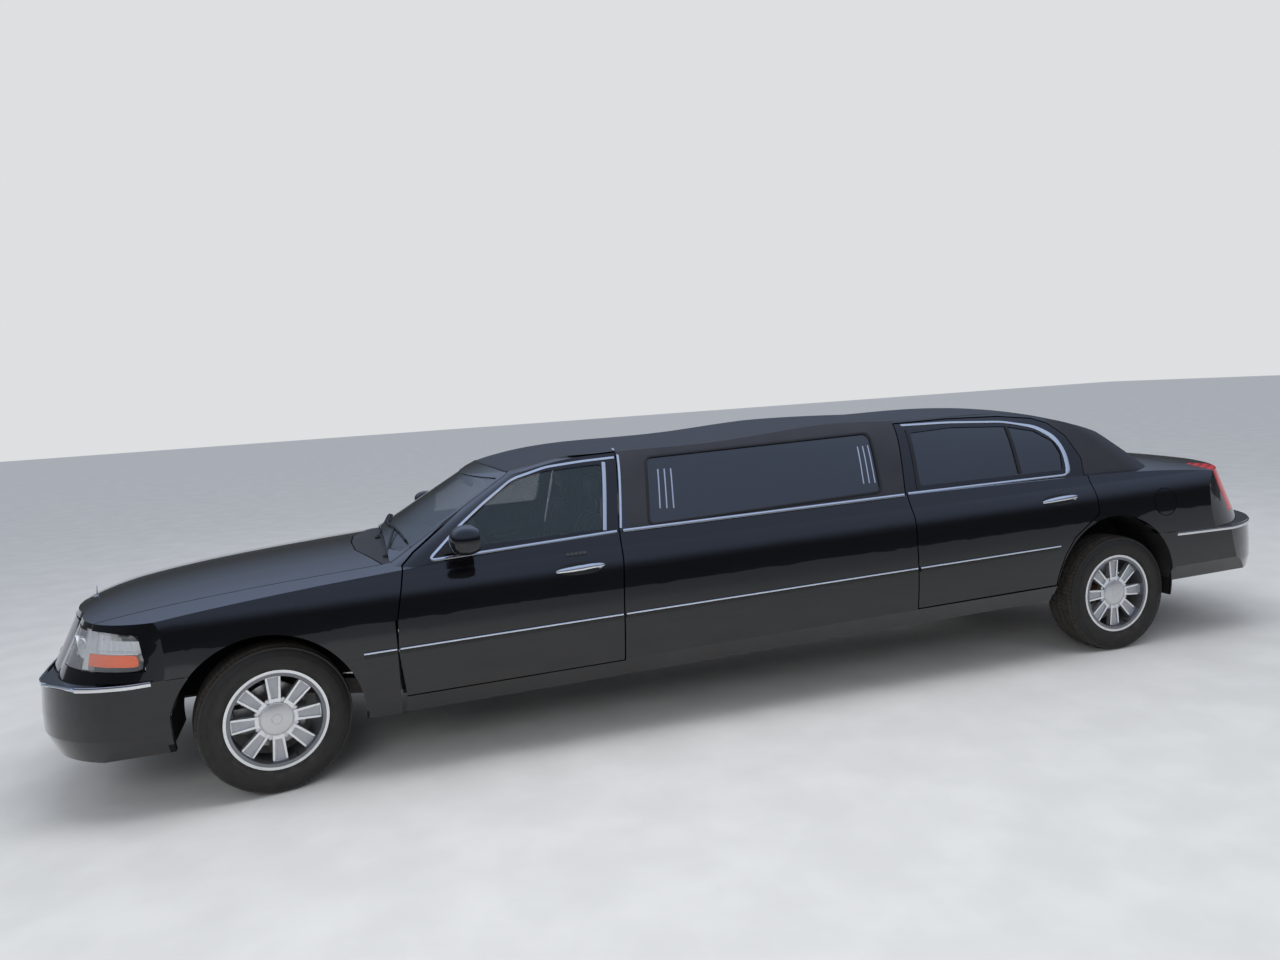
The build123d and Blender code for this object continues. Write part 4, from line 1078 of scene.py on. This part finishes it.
mirrorLook = dict(x=fore(-0.940), y=1.038, z=1.106, size=(0.076, 0.094, 0.069), cut=0.058, pane=0.70,
                  foot=((-0.915, 0.845, 1.035), (-0.925, 0.900, 1.046), (-0.935, 0.975, 1.078)))
sailLook = dict(front=fore(-0.806), back=fore(-0.972), top=(1.032, 1.138), foot=(1.030, 1.040), proud=0.004)


def boxed(value):
    # a coordinate of a round thing pushed out towards a rounded square
    return (1 if value > 0 else -1) * abs(value) ** 0.72


def mirrorPlace(side, ahead=0.0):
    return Matrix.Translation((mirrorLook["x"] + ahead, side * mirrorLook["y"], mirrorLook["z"]))


def mirrorHousing(side):
    # a boxy egg with its rear cut off flat and set in behind a rim
    bm = ball(1.0, 40, 24)
    for vert in bm.verts:
        x, y, z = vert.co.x, boxed(vert.co.y), boxed(vert.co.z)
        vert.co = (x if x > 0 else x * 1.15, y, z * (1 - 0.10 * y * side))
    moved(bm, Matrix.Diagonal((*mirrorLook["size"], 1)))
    made = bmesh.ops.holes_fill(bm, edges=cutOff(bm, -mirrorLook["cut"], -1), sides=0)
    outward(bm)
    bmesh.ops.inset_region(bm, faces=made["faces"], thickness=0.005)
    made = [face for face in bm.faces if face.normal.x < -0.9 and len(face.verts) > 8]
    bmesh.ops.inset_region(bm, faces=made, thickness=0.001, depth=-0.008)
    return moved(bm, mirrorPlace(side))


def mirrorPane(side):
    width, depth, height = mirrorLook["size"]
    bm = bmesh.new()
    bmesh.ops.create_circle(bm, cap_ends=True, segments=40, radius=1.0)
    for vert in bm.verts:
        vert.co = (0, boxed(vert.co.x) * depth * mirrorLook["pane"],
                   boxed(vert.co.y) * height * mirrorLook["pane"])
    return moved(thick(bm, 0.002), mirrorPlace(side, 0.007 - mirrorLook["cut"]))


for hand, side in hands:
    door = f"front_door_{hand}"
    housing = piece("mirrorHousing_" + hand, mirrorHousing(side), paint, door, creased=50,
                    slot="bumper_plastic")
    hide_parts("mirror_" + hand)
    piece("mirrorGlass_" + hand, mirrorPane(side), mirrorSilver, door)
    foot = tube([(fore(d), side * y, z) for d, y, z in mirrorLook["foot"]], 0.030, 20, flat=0.55, bend=0.03)
    piece("mirrorFoot_" + hand, foot, paint, door, slot="bumper_plastic")
    sailTree = probe(door, f"front_door_glass_{hand}")

    def sailSpot(u, v):
        top, foot = (Vector((sailLook["front"], front)) * (1 - v) + Vector((sailLook["back"], back)) * v
                     for front, back in (sailLook["top"], sailLook["foot"]))
        spot = foot.lerp(top, u)
        return onSide(sailTree, spot.x, spot.y, side)[0] + Vector((0, side * sailLook["proud"], 0))

    piece("mirrorSail_" + hand, sheetOn(sailSpot, 6, 8, 0.004), rubber, door, creased=60)
print("mirrors made")


# wipers, hood fin, radiator, plate

wiperLook = (("Left", (fore(-0.590), 0.600, 1.000), (fore(-0.695), 0.60), (fore(-0.638), 0.02)),
             ("Right", (fore(-0.575), 0.020, 1.022), (fore(-0.638), 0.04), (fore(-0.695), -0.58)))
bladeShape = [(-0.004, 0), (0.004, 0), (0.007, 0.010), (0.003, 0.016), (-0.003, 0.016), (-0.007, 0.010)]
spineShape = [(-0.004, 0), (0.004, 0), (0.003, 0.005), (-0.003, 0.005)]
for label, pivot, first, last in wiperLook:
    spots = [[a + (b - a) * k / 16 for a, b in zip(first, last)] for k in range(17)]
    hits = [hit for hit in (onTop(glassTree, x, y) for x, y in spots) if hit]
    piece("wiperBlade" + label, sweep(bladeShape, laidFrames(hits, lift=0.0005)), rubber)
    piece("wiperSpine" + label, sweep(spineShape, laidFrames(hits[4:13], lift=0.0165)), rubber)
    middle, out = hits[8]
    foot = Vector(pivot)
    arm = tube([foot, foot + Vector((-0.004, 0, 0.018)), middle + Vector((0.012, 0, 0.012)),
                middle + out * 0.020], 0.007, 10, flat=0.5)
    piece("wiperArm" + label, arm, rubber)
    piece("wiperPivot" + label, disc(0.014, 0.030, Matrix.Translation(foot)), rubber)

noseTop = onTop(probe("hood"), fore(0.845), 0.0)[0]
finLine = ((0.0, -0.002), (-0.002, 0.026), (-0.004, 0.052))
fin = tube([noseTop + Vector((ahead, 0, up)) for ahead, up in finLine], 0.0065, 16,
           radii=[1.6, 1.0, 0.9, 0.85, 0.8, 0.7, 0.35], flat=0.35)
piece("hoodFin", fin, chrome, "hood")
piece("hoodFinBase", disc(0.017, 0.006, Matrix.Translation(noseTop), 32, 0.002), chrome, "hood")

tankSpans = ((-0.315, -0.298, 0.545, 0.815), (0.298, 0.315, 0.545, 0.815),
             (-0.315, 0.315, 0.812, 0.824), (-0.315, 0.315, 0.545, 0.557))
core = rowOf(20, (0, 0, 0.0125), (3.470, -0.300, 0.560), (3.486, 0.300, 0.5665), 0.001, 1)
tanks = [boxForm((3.462, left, low), (3.492, right, high)) for left, right, low, high in tankSpans]
piece("radiator", joined(*core, *tanks), underBlack)
screen = boxForm((3.452, -0.40, 0.350), (3.460, 0.40, 0.545), 0.002, 1)
slats = rowOf(33, (0, 0.0245, 0), (3.458, -0.395, 0.355), (3.466, -0.389, 0.540), 0.001, 1)
piece("intakeScreen", joined(screen, *slats), underBlack)

plateLook = dict(x=-3.6250, half=0.1524, low=0.5138, high=0.6662, thickness=0.0018, screwY=0.0889,
                 screwZ=(0.5297, 0.6503))
blank = boxForm((plateLook["x"] - plateLook["thickness"], -plateLook["half"], plateLook["low"]),
                (plateLook["x"], plateLook["half"], plateLook["high"]), 0.0008, 1)
rear = [face for face in blank.faces if face.normal.x < -0.99]
bmesh.ops.inset_region(blank, faces=rear, thickness=0.006)
rear = [face for face in blank.faces if face.normal.x < -0.99 and face.calc_area() > 0.02]
bmesh.ops.inset_region(blank, faces=rear, thickness=0.002, depth=-0.0008)
piece("rearPlate", blank, plateWhite, creased=20)
screws = [disc(0.0075, 0.006, facingAhead(plateLook["x"] - 0.003, side * plateLook["screwY"], z), 20)
          for hand, side in hands for z in plateLook["screwZ"]]
piece("plateScrews", joined(*screws), chrome)
print("wipers, fin, radiator and plate made")


# padded seats, each pad filled like a cushion

def evened(made, voxel):
    # the piece's mesh remade in even small faces
    maker = made.modifiers.new("even", "REMESH")
    maker.mode, maker.voxel_size = "VOXEL", voxel
    bake(made)


def bake(made):
    # the modifiers' result becomes the mesh
    graph = bpy.context.evaluated_depsgraph_get()
    mesh = bpy.data.meshes.new_from_object(made.evaluated_get(graph))
    made.modifiers.clear()
    made.data = mesh


def filled(made, voxel, cap, pressure=4.0, lastFrame=20):
    # cloth swelled from inside, each point held to a largest way out
    evened(made, voxel)
    start = [vert.co.copy() for vert in made.data.vertices]
    low = min(spot.z for spot in start)
    group = made.vertex_groups.new(name="resting")
    group.add([i for i, spot in enumerate(start) if spot.z < low + 0.015], 1.0, "ADD")
    cloth = made.modifiers.new("fill", "CLOTH")
    cloth.settings.vertex_group_mass = "resting"
    cloth.settings.use_pressure, cloth.settings.uniform_pressure_force = True, pressure
    cloth.settings.effector_weights.gravity = 0.0
    cloth.point_cache.frame_start, cloth.point_cache.frame_end = 1, lastFrame
    for step in range(1, lastFrame + 1):
        bpy.context.scene.frame_set(step)
    bake(made)
    bpy.context.scene.frame_set(1)
    for vert, before in zip(made.data.vertices, start):
        way = vert.co - before
        if way.length > cap:
            vert.co = before + way.normalized() * cap
    made.vertex_groups.clear()


def channelled(made, lines, depth=0.009, width=0.008):
    # sewn channels: points near a line sink in along the pad's own normal
    mesh = made.data
    normals = [vert.normal.copy() for vert in mesh.vertices]
    for vert, normal in zip(mesh.vertices, normals):
        for axis, place, low, high in lines:
            off = abs(vert.co[axis] - place)
            if off < width * 3 and low <= vert.co[1 if axis == 0 else 0] <= high:
                vert.co -= normal * depth * 2.718 ** (-(off / width) ** 2)


def seam(axis, place, low=-9, high=9):
    # a sewn line at a place on X (0) or Y (1), between two places on the other of them
    return axis, place, low, high


def pad(name, low, high, bevel, lean=None, lines=(), voxel=0.014, cap=0.022, fill=0.7):
    # one pad: its box is sheared along X by height from a foot, then filled and sewn
    bm = boxForm(low, high, bevel, 3)
    if lean:
        foot, slope = lean
        for vert in bm.verts:
            vert.co.x += (vert.co.z - foot) * slope
    made = piece(name, bm, leather, creased=60)
    filled(made, voxel, cap)
    if lines:
        channelled(made, lines)
    made.data.materials.clear()
    made.data.materials.append(leather)
    smooth = made.modifiers.new("smooth", "SUBSURF")
    smooth.levels = smooth.render_levels = 1
    made.data.shade_smooth()
    return made


seatLook = dict(
    middles=(("Left", 0.370), ("Right", -0.370)), lean=(0.600, -0.27),
    cushion=((-1.625, -0.240, 0.520), (-1.128, 0.240, 0.622)), ribs=(-0.155, 0.155), rows=(-1.24, -0.085, 4),
    back=((-1.640, -0.232, 0.600), (-1.560, 0.232, 1.115)), backRibs=(-0.150, -0.05, 0.05, 0.150),
    headRest=((-1.772, -0.118, 1.172), (-1.706, 0.118, 1.305)),
    base=((-1.600, -0.225, 0.430), (-1.150, 0.225, 0.530)),
    rail=((-1.610, -0.203, 0.393), (-1.140, -0.167, 0.440)), railGap=0.370,
    post=((-1.744, 0.0, 1.095), (-1.738, 0.0, 1.195)), postY=(-0.06, 0.06))
for label, y in seatLook["middles"]:
    first, step, count = seatLook["rows"]
    ribs = [seam(1, y + way) for way in seatLook["ribs"]]
    across = [seam(0, fore(first + step * k), y - 0.15, y + 0.15) for k in range(count)]
    cushion = pad("seatCushion" + label, *corners(seatLook["cushion"], y), 0.035, lines=ribs + across)
    if label == "Left":
        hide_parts("front_seats")
    pad("seatBack" + label, *corners(seatLook["back"], y), 0.034, lean=seatLook["lean"],
        lines=[seam(1, y + way) for way in seatLook["backRibs"]])
    pad("headRest" + label, *corners(seatLook["headRest"], y), 0.030, cap=0.014)
    base = boxForm(*corners(seatLook["base"], y), 0.012, 3)
    rails = rowOf(2, (0, seatLook["railGap"], 0), *corners(seatLook["rail"], y))
    piece("seatBase" + label, joined(base, *rails), plastic)
    posts = [tube(corners(seatLook["post"], y + way), 0.0065) for way in seatLook["postY"]]
    piece("headRestPosts" + label, joined(*posts), chrome)

benchLook = dict(cushion=(rearAxle + 0.335, rearAxle + 0.742), back=(rearAxle + 0.265, rearAxle + 0.325),
                 half=0.292, voxel=0.016)
for number, y in enumerate((-0.308, 0.308)):
    left, right = y - benchLook["half"], y + benchLook["half"]
    rearmost, foremost = benchLook["cushion"]
    cushion = pad(f"benchCushion{number}", (rearmost, left, 0.600), (foremost, right, 0.688), 0.034,
                  lines=[seam(0, rearAxle + ahead) for ahead in (0.46, 0.58)], voxel=benchLook["voxel"])
    if number == 0:
        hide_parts("cabin_seats")
    rearmost, foremost = benchLook["back"]
    pad(f"benchBack{number}", (rearmost, left, 0.700), (foremost, right, 1.022), 0.028, lean=(0.700, -0.22),
        lines=[seam(1, y + way) for way in (-0.14, 0.0, 0.14)], voxel=benchLook["voxel"], cap=0.016)
bench = boxForm((rearAxle + 0.200, -0.615, 0.583), (rearAxle + 0.735, 0.615, 0.620), 0.008)
piece("benchBase", bench, carpet)
for number, (back, front) in enumerate(((-0.775, -0.335), (-0.325, 0.115), (0.125, 0.548))):
    pad(f"sideCushion{number}", (back, -0.765, 0.545), (front, -0.432, 0.640), 0.032,
        lines=[seam(1, -0.60)], voxel=benchLook["voxel"])
    pad(f"sideBack{number}", (back, -0.838, 0.640), (front, -0.795, 0.995), 0.020,
        lines=[seam(0, (back + front) / 2)], voxel=benchLook["voxel"], cap=0.014)
piece("sideBench", boxForm((-0.780, -0.845, 0.394), (0.552, -0.450, 0.560), 0.010), carpet)
print("seats padded")


# under the hood

coverLook = dict(middles=(-0.185, 0.185), box=((-0.395, -0.080, 0.795), (0.235, 0.080, 0.838)),
                 rib=((-0.360, -0.070, 0.834), (-0.345, 0.070, 0.844)), ribStep=0.100, boltX=-0.38,
                 boltStep=0.120, boltY=(-0.066, 0.066), boltZ=0.840, count=6)
intakeLook = dict(plenum=((-0.375, -0.050, 0.800), (0.225, 0.050, 0.872)), runners=7, first=-0.33, step=0.085,
                  runner=((0.135, 0.800), (0.085, 0.850), (0.020, 0.852)),
                  duct=((0.215, 0.0, 0.835), (0.330, 0.020, 0.835), (0.470, 0.160, 0.800)),
                  hoops=5, hoopX=0.235, hoopStep=0.016)
beltLook = dict(x=fore(0.305), hubs=(0.030, 0.022, 0.022), wheels=(         # radius, y, z of each wheel
    (0.080, 0.0, 0.560), (0.055, 0.170, 0.660), (0.055, -0.175, 0.655), (0.038, -0.020, 0.720)),
    line=((0.0, 0.478), (0.215, 0.625), (0.170, 0.717), (-0.02, 0.760), (-0.175, 0.712), (-0.222, 0.620),
          (-0.004, 0.478)))
batteryLook = dict(case=((0.330, -0.505, 0.690), (0.480, -0.315, 0.865)),
                   lid=((0.326, -0.509, 0.864), (0.484, -0.311, 0.882)),
                   tray=((0.320, -0.520, 0.672), (0.490, -0.300, 0.694)),
                   caps=((0.400, -0.46, 0.880), (0.400, -0.36, 0.880)))
for number, y in enumerate(coverLook["middles"]):
    cover = boxForm(*corners(coverLook["box"], y), 0.016, 3)
    ribs = rowOf(coverLook["count"], (coverLook["ribStep"], 0, 0), *corners(coverLook["rib"], y), 0.003)
    spots = [(fore(coverLook["boltX"] + coverLook["boltStep"] * k), y + way, coverLook["boltZ"])
             for k in range(coverLook["count"]) for way in coverLook["boltY"]]
    bolts = [disc(0.008, 0.012, Matrix.Translation(spot), 12) for spot in spots]
    piece(f"valveCover{number}", joined(cover, *ribs, *bolts), underBlack, creased=50)
runners = [tube([(fore(intakeLook["first"] + intakeLook["step"] * k), side * y, z)
                 for y, z in intakeLook["runner"]], 0.021, 14)
           for k in range(intakeLook["runners"]) for hand, side in hands]
plenum = boxForm(*corners(intakeLook["plenum"]), 0.022, 4)
piece("intakeManifold", joined(plenum, *runners), plastic, creased=60)
throttle = tube(corners(intakeLook["duct"]), 0.042, 24, bend=0.08)
hoopsX = [fore(intakeLook["hoopX"] + intakeLook["hoopStep"] * k) for k in range(intakeLook["hoops"])]
hoops = [disc(0.047, 0.012, facingAhead(x, 0.0, 0.835), 24) for x in hoopsX]
piece("intakeDuct", joined(throttle, *hoops), plastic)
wheels = [disc(radius, 0.030, facingAhead(beltLook["x"], y, z), 40, 0.004)
          for radius, y, z in beltLook["wheels"]]
hubs = [disc(hub, 0.040, facingAhead(beltLook["x"], y, z), 24)
        for hub, (radius, y, z) in zip(beltLook["hubs"], beltLook["wheels"])]
piece("beltWheels", joined(*wheels, *hubs), exhaustSteel)
belt = tube([(beltLook["x"], y, z) for y, z in beltLook["line"]], 0.008, 8, bend=0.05)
piece("driveBelt", belt, rubber, slot="tyre")
caps = [disc(0.016, 0.014, Matrix.Translation(spot), 20) for spot in corners(batteryLook["caps"])]
battery = joined(boxForm(*corners(batteryLook["case"]), 0.006), boxForm(*corners(batteryLook["lid"])), *caps)
piece("battery", battery, plastic)
piece("batteryTray", boxForm(*corners(batteryLook["tray"])), underBlack)
print("engine bay dressed")


# door cards

cardLook = {                         # rest: from and to where the arm rest runs, and its height
    "front": dict(span=(fore(-0.86), fore(-1.60)), low=0.45, high=0.925, speaker=(fore(-1.00), 0.545),
                  rest=(fore(-1.52), fore(-1.12), 0.745)),
    "rear": dict(span=(fore(-3.60), fore(-4.26)), low=0.51, high=0.955, speaker=(fore(-3.74), 0.605),
                 rest=(fore(-4.20), fore(-3.84), 0.775)),
}
gripLine = ((0.03, 0.004, 0.095), (0.05, 0.034, 0.095), (0.17, 0.034, 0.100), (0.19, 0.004, 0.100))
speakerRings = ((0.078, 0.005), (0.060, 0.007), (0.040, 0.009), (0.018, 0.011))


def doorPanel(tree, side, span, low, high, margin, proud):
    # a sheet on the door's inner face, a little proud of it and falling off to its edges
    def spotAt(u, v):
        x = span[0] - margin + (span[1] - span[0] + 2 * margin) * u
        edge = min(u, 1 - u, v, 1 - v)
        lift = 0.002 + proud * min(1.0, edge * 12) ** 0.5
        return inDoor(tree, x, low + (high - low) * v, side) - Vector((0, side * lift, 0))
    return sheetOn(spotAt, 28, 14, 0.0015)


for hand, side in hands:
    for place, look in cardLook.items():
        door = f"{place}_door_{hand}"
        tree, low, high = doorTrees[door], look["low"], look["high"]
        back, front, middle = look["rest"]
        card = doorPanel(tree, side, look["span"], low, high, 0.0, 0.003)
        piece(f"{place}DoorCard_{hand}", card, plastic, door, creased=60)
        upper = doorPanel(tree, side, look["span"], middle + 0.055, high - 0.020, 0.025, 0.008)
        piece(f"{place}DoorPad_{hand}", upper, leather, door, creased=60)
        wall = inDoor(tree, (back + front) / 2, middle, side).y
        right, left = sorted((wall - side * 0.003, wall - side * 0.048))
        arm = boxForm((back, right, middle), (front, left, middle + 0.042), 0.014, 4)
        piece(f"{place}ArmRest_{hand}", arm, leather, door, creased=60)
        grip = [(back + ahead, wall - side * out, middle + up) for ahead, out, up in gripLine]
        piece(f"{place}PullHandle_{hand}", tube(grip, 0.010, 14, flat=0.7), brightBar, door)
        spot = inDoor(tree, *look["speaker"], side) - Vector((0, side * 0.0075, 0))
        turn = Matrix.Translation(spot) @ Matrix.Rotation(pi / 2, 4, "X")
        rings = [disc(radius, depth, turn, 40, 0.001) for radius, depth in speakerRings]
        piece(f"{place}Speaker_{hand}", joined(*rings), rubber, door, slot="cabin_plastic")
print("door cards hung")


# dashboard fittings, rear-view mirror and the roof's welt

dashLook = dict(
    binnacle=((-0.962, 0.215, 0.975), (-0.800, 0.525, 1.042)),
    cluster=((-0.968, 0.240, 0.986), (-0.958, 0.500, 1.030)),
    veneer=((-0.655, 0.315), (0.425, 0.655)), veneerZ=(0.868, 0.908), edgeZ=(0.8655, 0.9075),
    vents=(-0.585, -0.105, 0.105, 0.585),
    slat=((-0.990, -0.060, 0.808), (-0.968, 0.060, 0.8135)), slatStep=0.0115,
    post=((-0.992, -0.067, 0.803), (-0.966, -0.059, 0.864)), postStep=0.063,
    radio=((-0.988, -0.095, 0.722), (-0.962, 0.095, 0.790)),
    knobs=((-0.992, -0.072, 0.756), (-0.992, 0.072, 0.756)),
    key=((-0.991, -0.040, 0.735), (-0.985, -0.027, 0.744)), keyStep=0.0165)
rearViewLook = dict(box=((-1.112, -0.125, 1.276), (-1.090, 0.125, 1.330)),
                    glass=((-1.1145, -0.118, 1.283), (-1.111, 0.118, 1.323)),
                    stem=((-1.095, 0, 1.305), (-1.070, 0, 1.322)), hungX=-1.045)
piece("binnacle", boxForm(*corners(dashLook["binnacle"]), 0.028, 4), plastic, creased=60)
piece("cluster", boxForm(*corners(dashLook["cluster"]), 0.003), darkGlass)
low, high = dashLook["veneerZ"]
strips = [boxForm((fore(-0.988), right, low), (fore(-0.972), left, high), 0.003)
          for right, left in dashLook["veneer"]]
piece("veneerStrip", joined(*strips), wood)
edges = [boxForm((fore(-0.9895), right, z), (fore(-0.974), left, z + 0.003), 0.001, 1)
         for right, left in dashLook["veneer"] for z in dashLook["edgeZ"]]
piece("veneerEdges", joined(*edges), chrome)
for number, y in enumerate(dashLook["vents"]):
    slats = rowOf(5, (0, 0, dashLook["slatStep"]), *corners(dashLook["slat"], y), 0.001, 1)
    posts = rowOf(3, (0, dashLook["postStep"], 0), *corners(dashLook["post"], y), 0.0015)
    piece(f"airVent{number}", joined(*slats, *posts), plastic)
knobs = [disc(0.013, 0.016, facingAhead(*spot), 24) for spot in corners(dashLook["knobs"])]
keys = rowOf(5, (0, dashLook["keyStep"], 0), *corners(dashLook["key"]), 0.001)
piece("radio", joined(boxForm(*corners(dashLook["radio"])), *knobs, *keys), plastic)

piece("rearViewMirror", boxForm(*corners(rearViewLook["box"]), 0.010, 3), plastic)
piece("rearViewGlass", boxForm(*corners(rearViewLook["glass"]), 0.0015), mirrorSilver)
hung = onTop(glassTree, fore(rearViewLook["hungX"]), 0.0)[0] - Vector((0, 0, 0.006))
piece("rearViewStem", tube([*corners(rearViewLook["stem"]), hung], 0.007, 12), plastic)

welt = [onTop(shellTree, headerLook["x"] - y * y * headerLook["bow"], y)
        for y in (0.03 * k - 0.6 for k in range(41))]
piece("roofWelt", sweep(barProfile(0.009, 0.003), laidFrames([hit for hit in welt if hit])), rubber,
      slot="roof_vinyl")
print("cabin fitted")


# camera, floor and light

def aimedCamera():
    # stands where the photographer stood, seen in the part's frame
    yaw, pitch, roll = -0.3014, 0.0923, -0.0644
    eye, focal, pictureWide, sensorWide = (2.1977, 5.5413, 1.7499), 960.54, 1280, 36.0
    ahead = Vector((sin(yaw), -cos(yaw), 0))
    right, up = Vector((-cos(yaw), -sin(yaw), 0)), Vector((0, 0, 1))
    ahead, up = ahead * cos(pitch) - up * sin(pitch), up * cos(pitch) + ahead * sin(pitch)
    right, up = right * cos(roll) + up * sin(roll), up * cos(roll) - right * sin(roll)
    data = bpy.data.cameras.new("photoCamera")
    data.sensor_width, data.lens, data.clip_end = sensorWide, sensorWide * focal / pictureWide, 200.0
    made = placed("photoCamera", data)
    made.matrix_world = Matrix.Translation(eye) @ Matrix((right, up, -ahead)).transposed().to_4x4()
    bpy.context.scene.camera = made


def layFloor():
    bm = bmesh.new()
    bmesh.ops.create_grid(bm, x_segments=8, y_segments=8, size=60.0)
    mesh = bpy.data.meshes.new("studioFloor")
    bm.to_mesh(mesh)
    bm.free()
    floor = placed("studioFloor", mesh)
    cement = Finish("paleFloor", (0.60, 0.60, 0.59), 0.7)
    speckle = cement.noise(3.0, 8.0).step(0.3, 0.8)
    cement.set(Base_Color=cement.blend(speckle, (0.58, 0.58, 0.57), (0.64, 0.64, 0.63)))
    mesh.materials.append(cement.done())


def areaLight(name, spot, aim, size, power):
    data = bpy.data.lights.new(name, "AREA")
    data.shape, data.size, data.size_y, data.energy = "RECTANGLE", size[0], size[1], power
    made = placed(name, data)
    made.location, made.visible_glossy = spot, False
    made.rotation_euler = (Vector(aim) - Vector(spot)).to_track_quat("-Z", "Y").to_euler()


def lightUp():
    # a pale room: darker round the horizon, bright overhead, white behind what the camera sees
    world = bpy.data.worlds.new("studio")
    world.use_nodes = True
    bpy.context.scene.world = world
    tree = world.node_tree
    tree.nodes.clear()
    room = Finish.__new__(Finish)    # only for its node making: the world has no shader
    room.tree = tree
    place = room.add("ShaderNodeTexCoord", output="Generated")
    height = room.add("ShaderNodeSeparateXYZ", None, {"Vector": place}, output="Z")
    seen = room.add("ShaderNodeLightPath", output="Is Camera Ray")
    mirrored = room.add("ShaderNodeLightPath", output="Is Glossy Ray")
    low = room.blend(mirrored, (0.42, 0.43, 0.45), (0.06, 0.065, 0.07))
    high = room.blend(mirrored, (0.85, 0.89, 0.96), (0.50, 0.62, 0.90))
    sky = room.blend(height.step(0.05, 0.62), low, high)
    colour = room.blend(seen, sky, (0.86, 0.87, 0.88))
    glow = room.add("ShaderNodeBackground", None, {"Color": colour, "Strength": 0.85}, output="Background")
    room.add("ShaderNodeOutputWorld", None, {"Surface": glow})
    areaLight("overhead", (0.5, 1.5, 6.5), (0.0, 0.0, 0.6), (7.0, 3.5), 260)
    areaLight("cameraSide", (4.5, 7.0, 3.6), (0.6, 0.0, 0.7), (4.0, 2.0), 150)
    areaLight("behind", (-3.0, -7.0, 3.5), (0.0, 0.0, 0.8), (5.0, 2.0), 110)


aimedCamera()
layFloor()
lightUp()
bpy.context.scene.view_settings.view_transform = "Standard"
print("studio set")
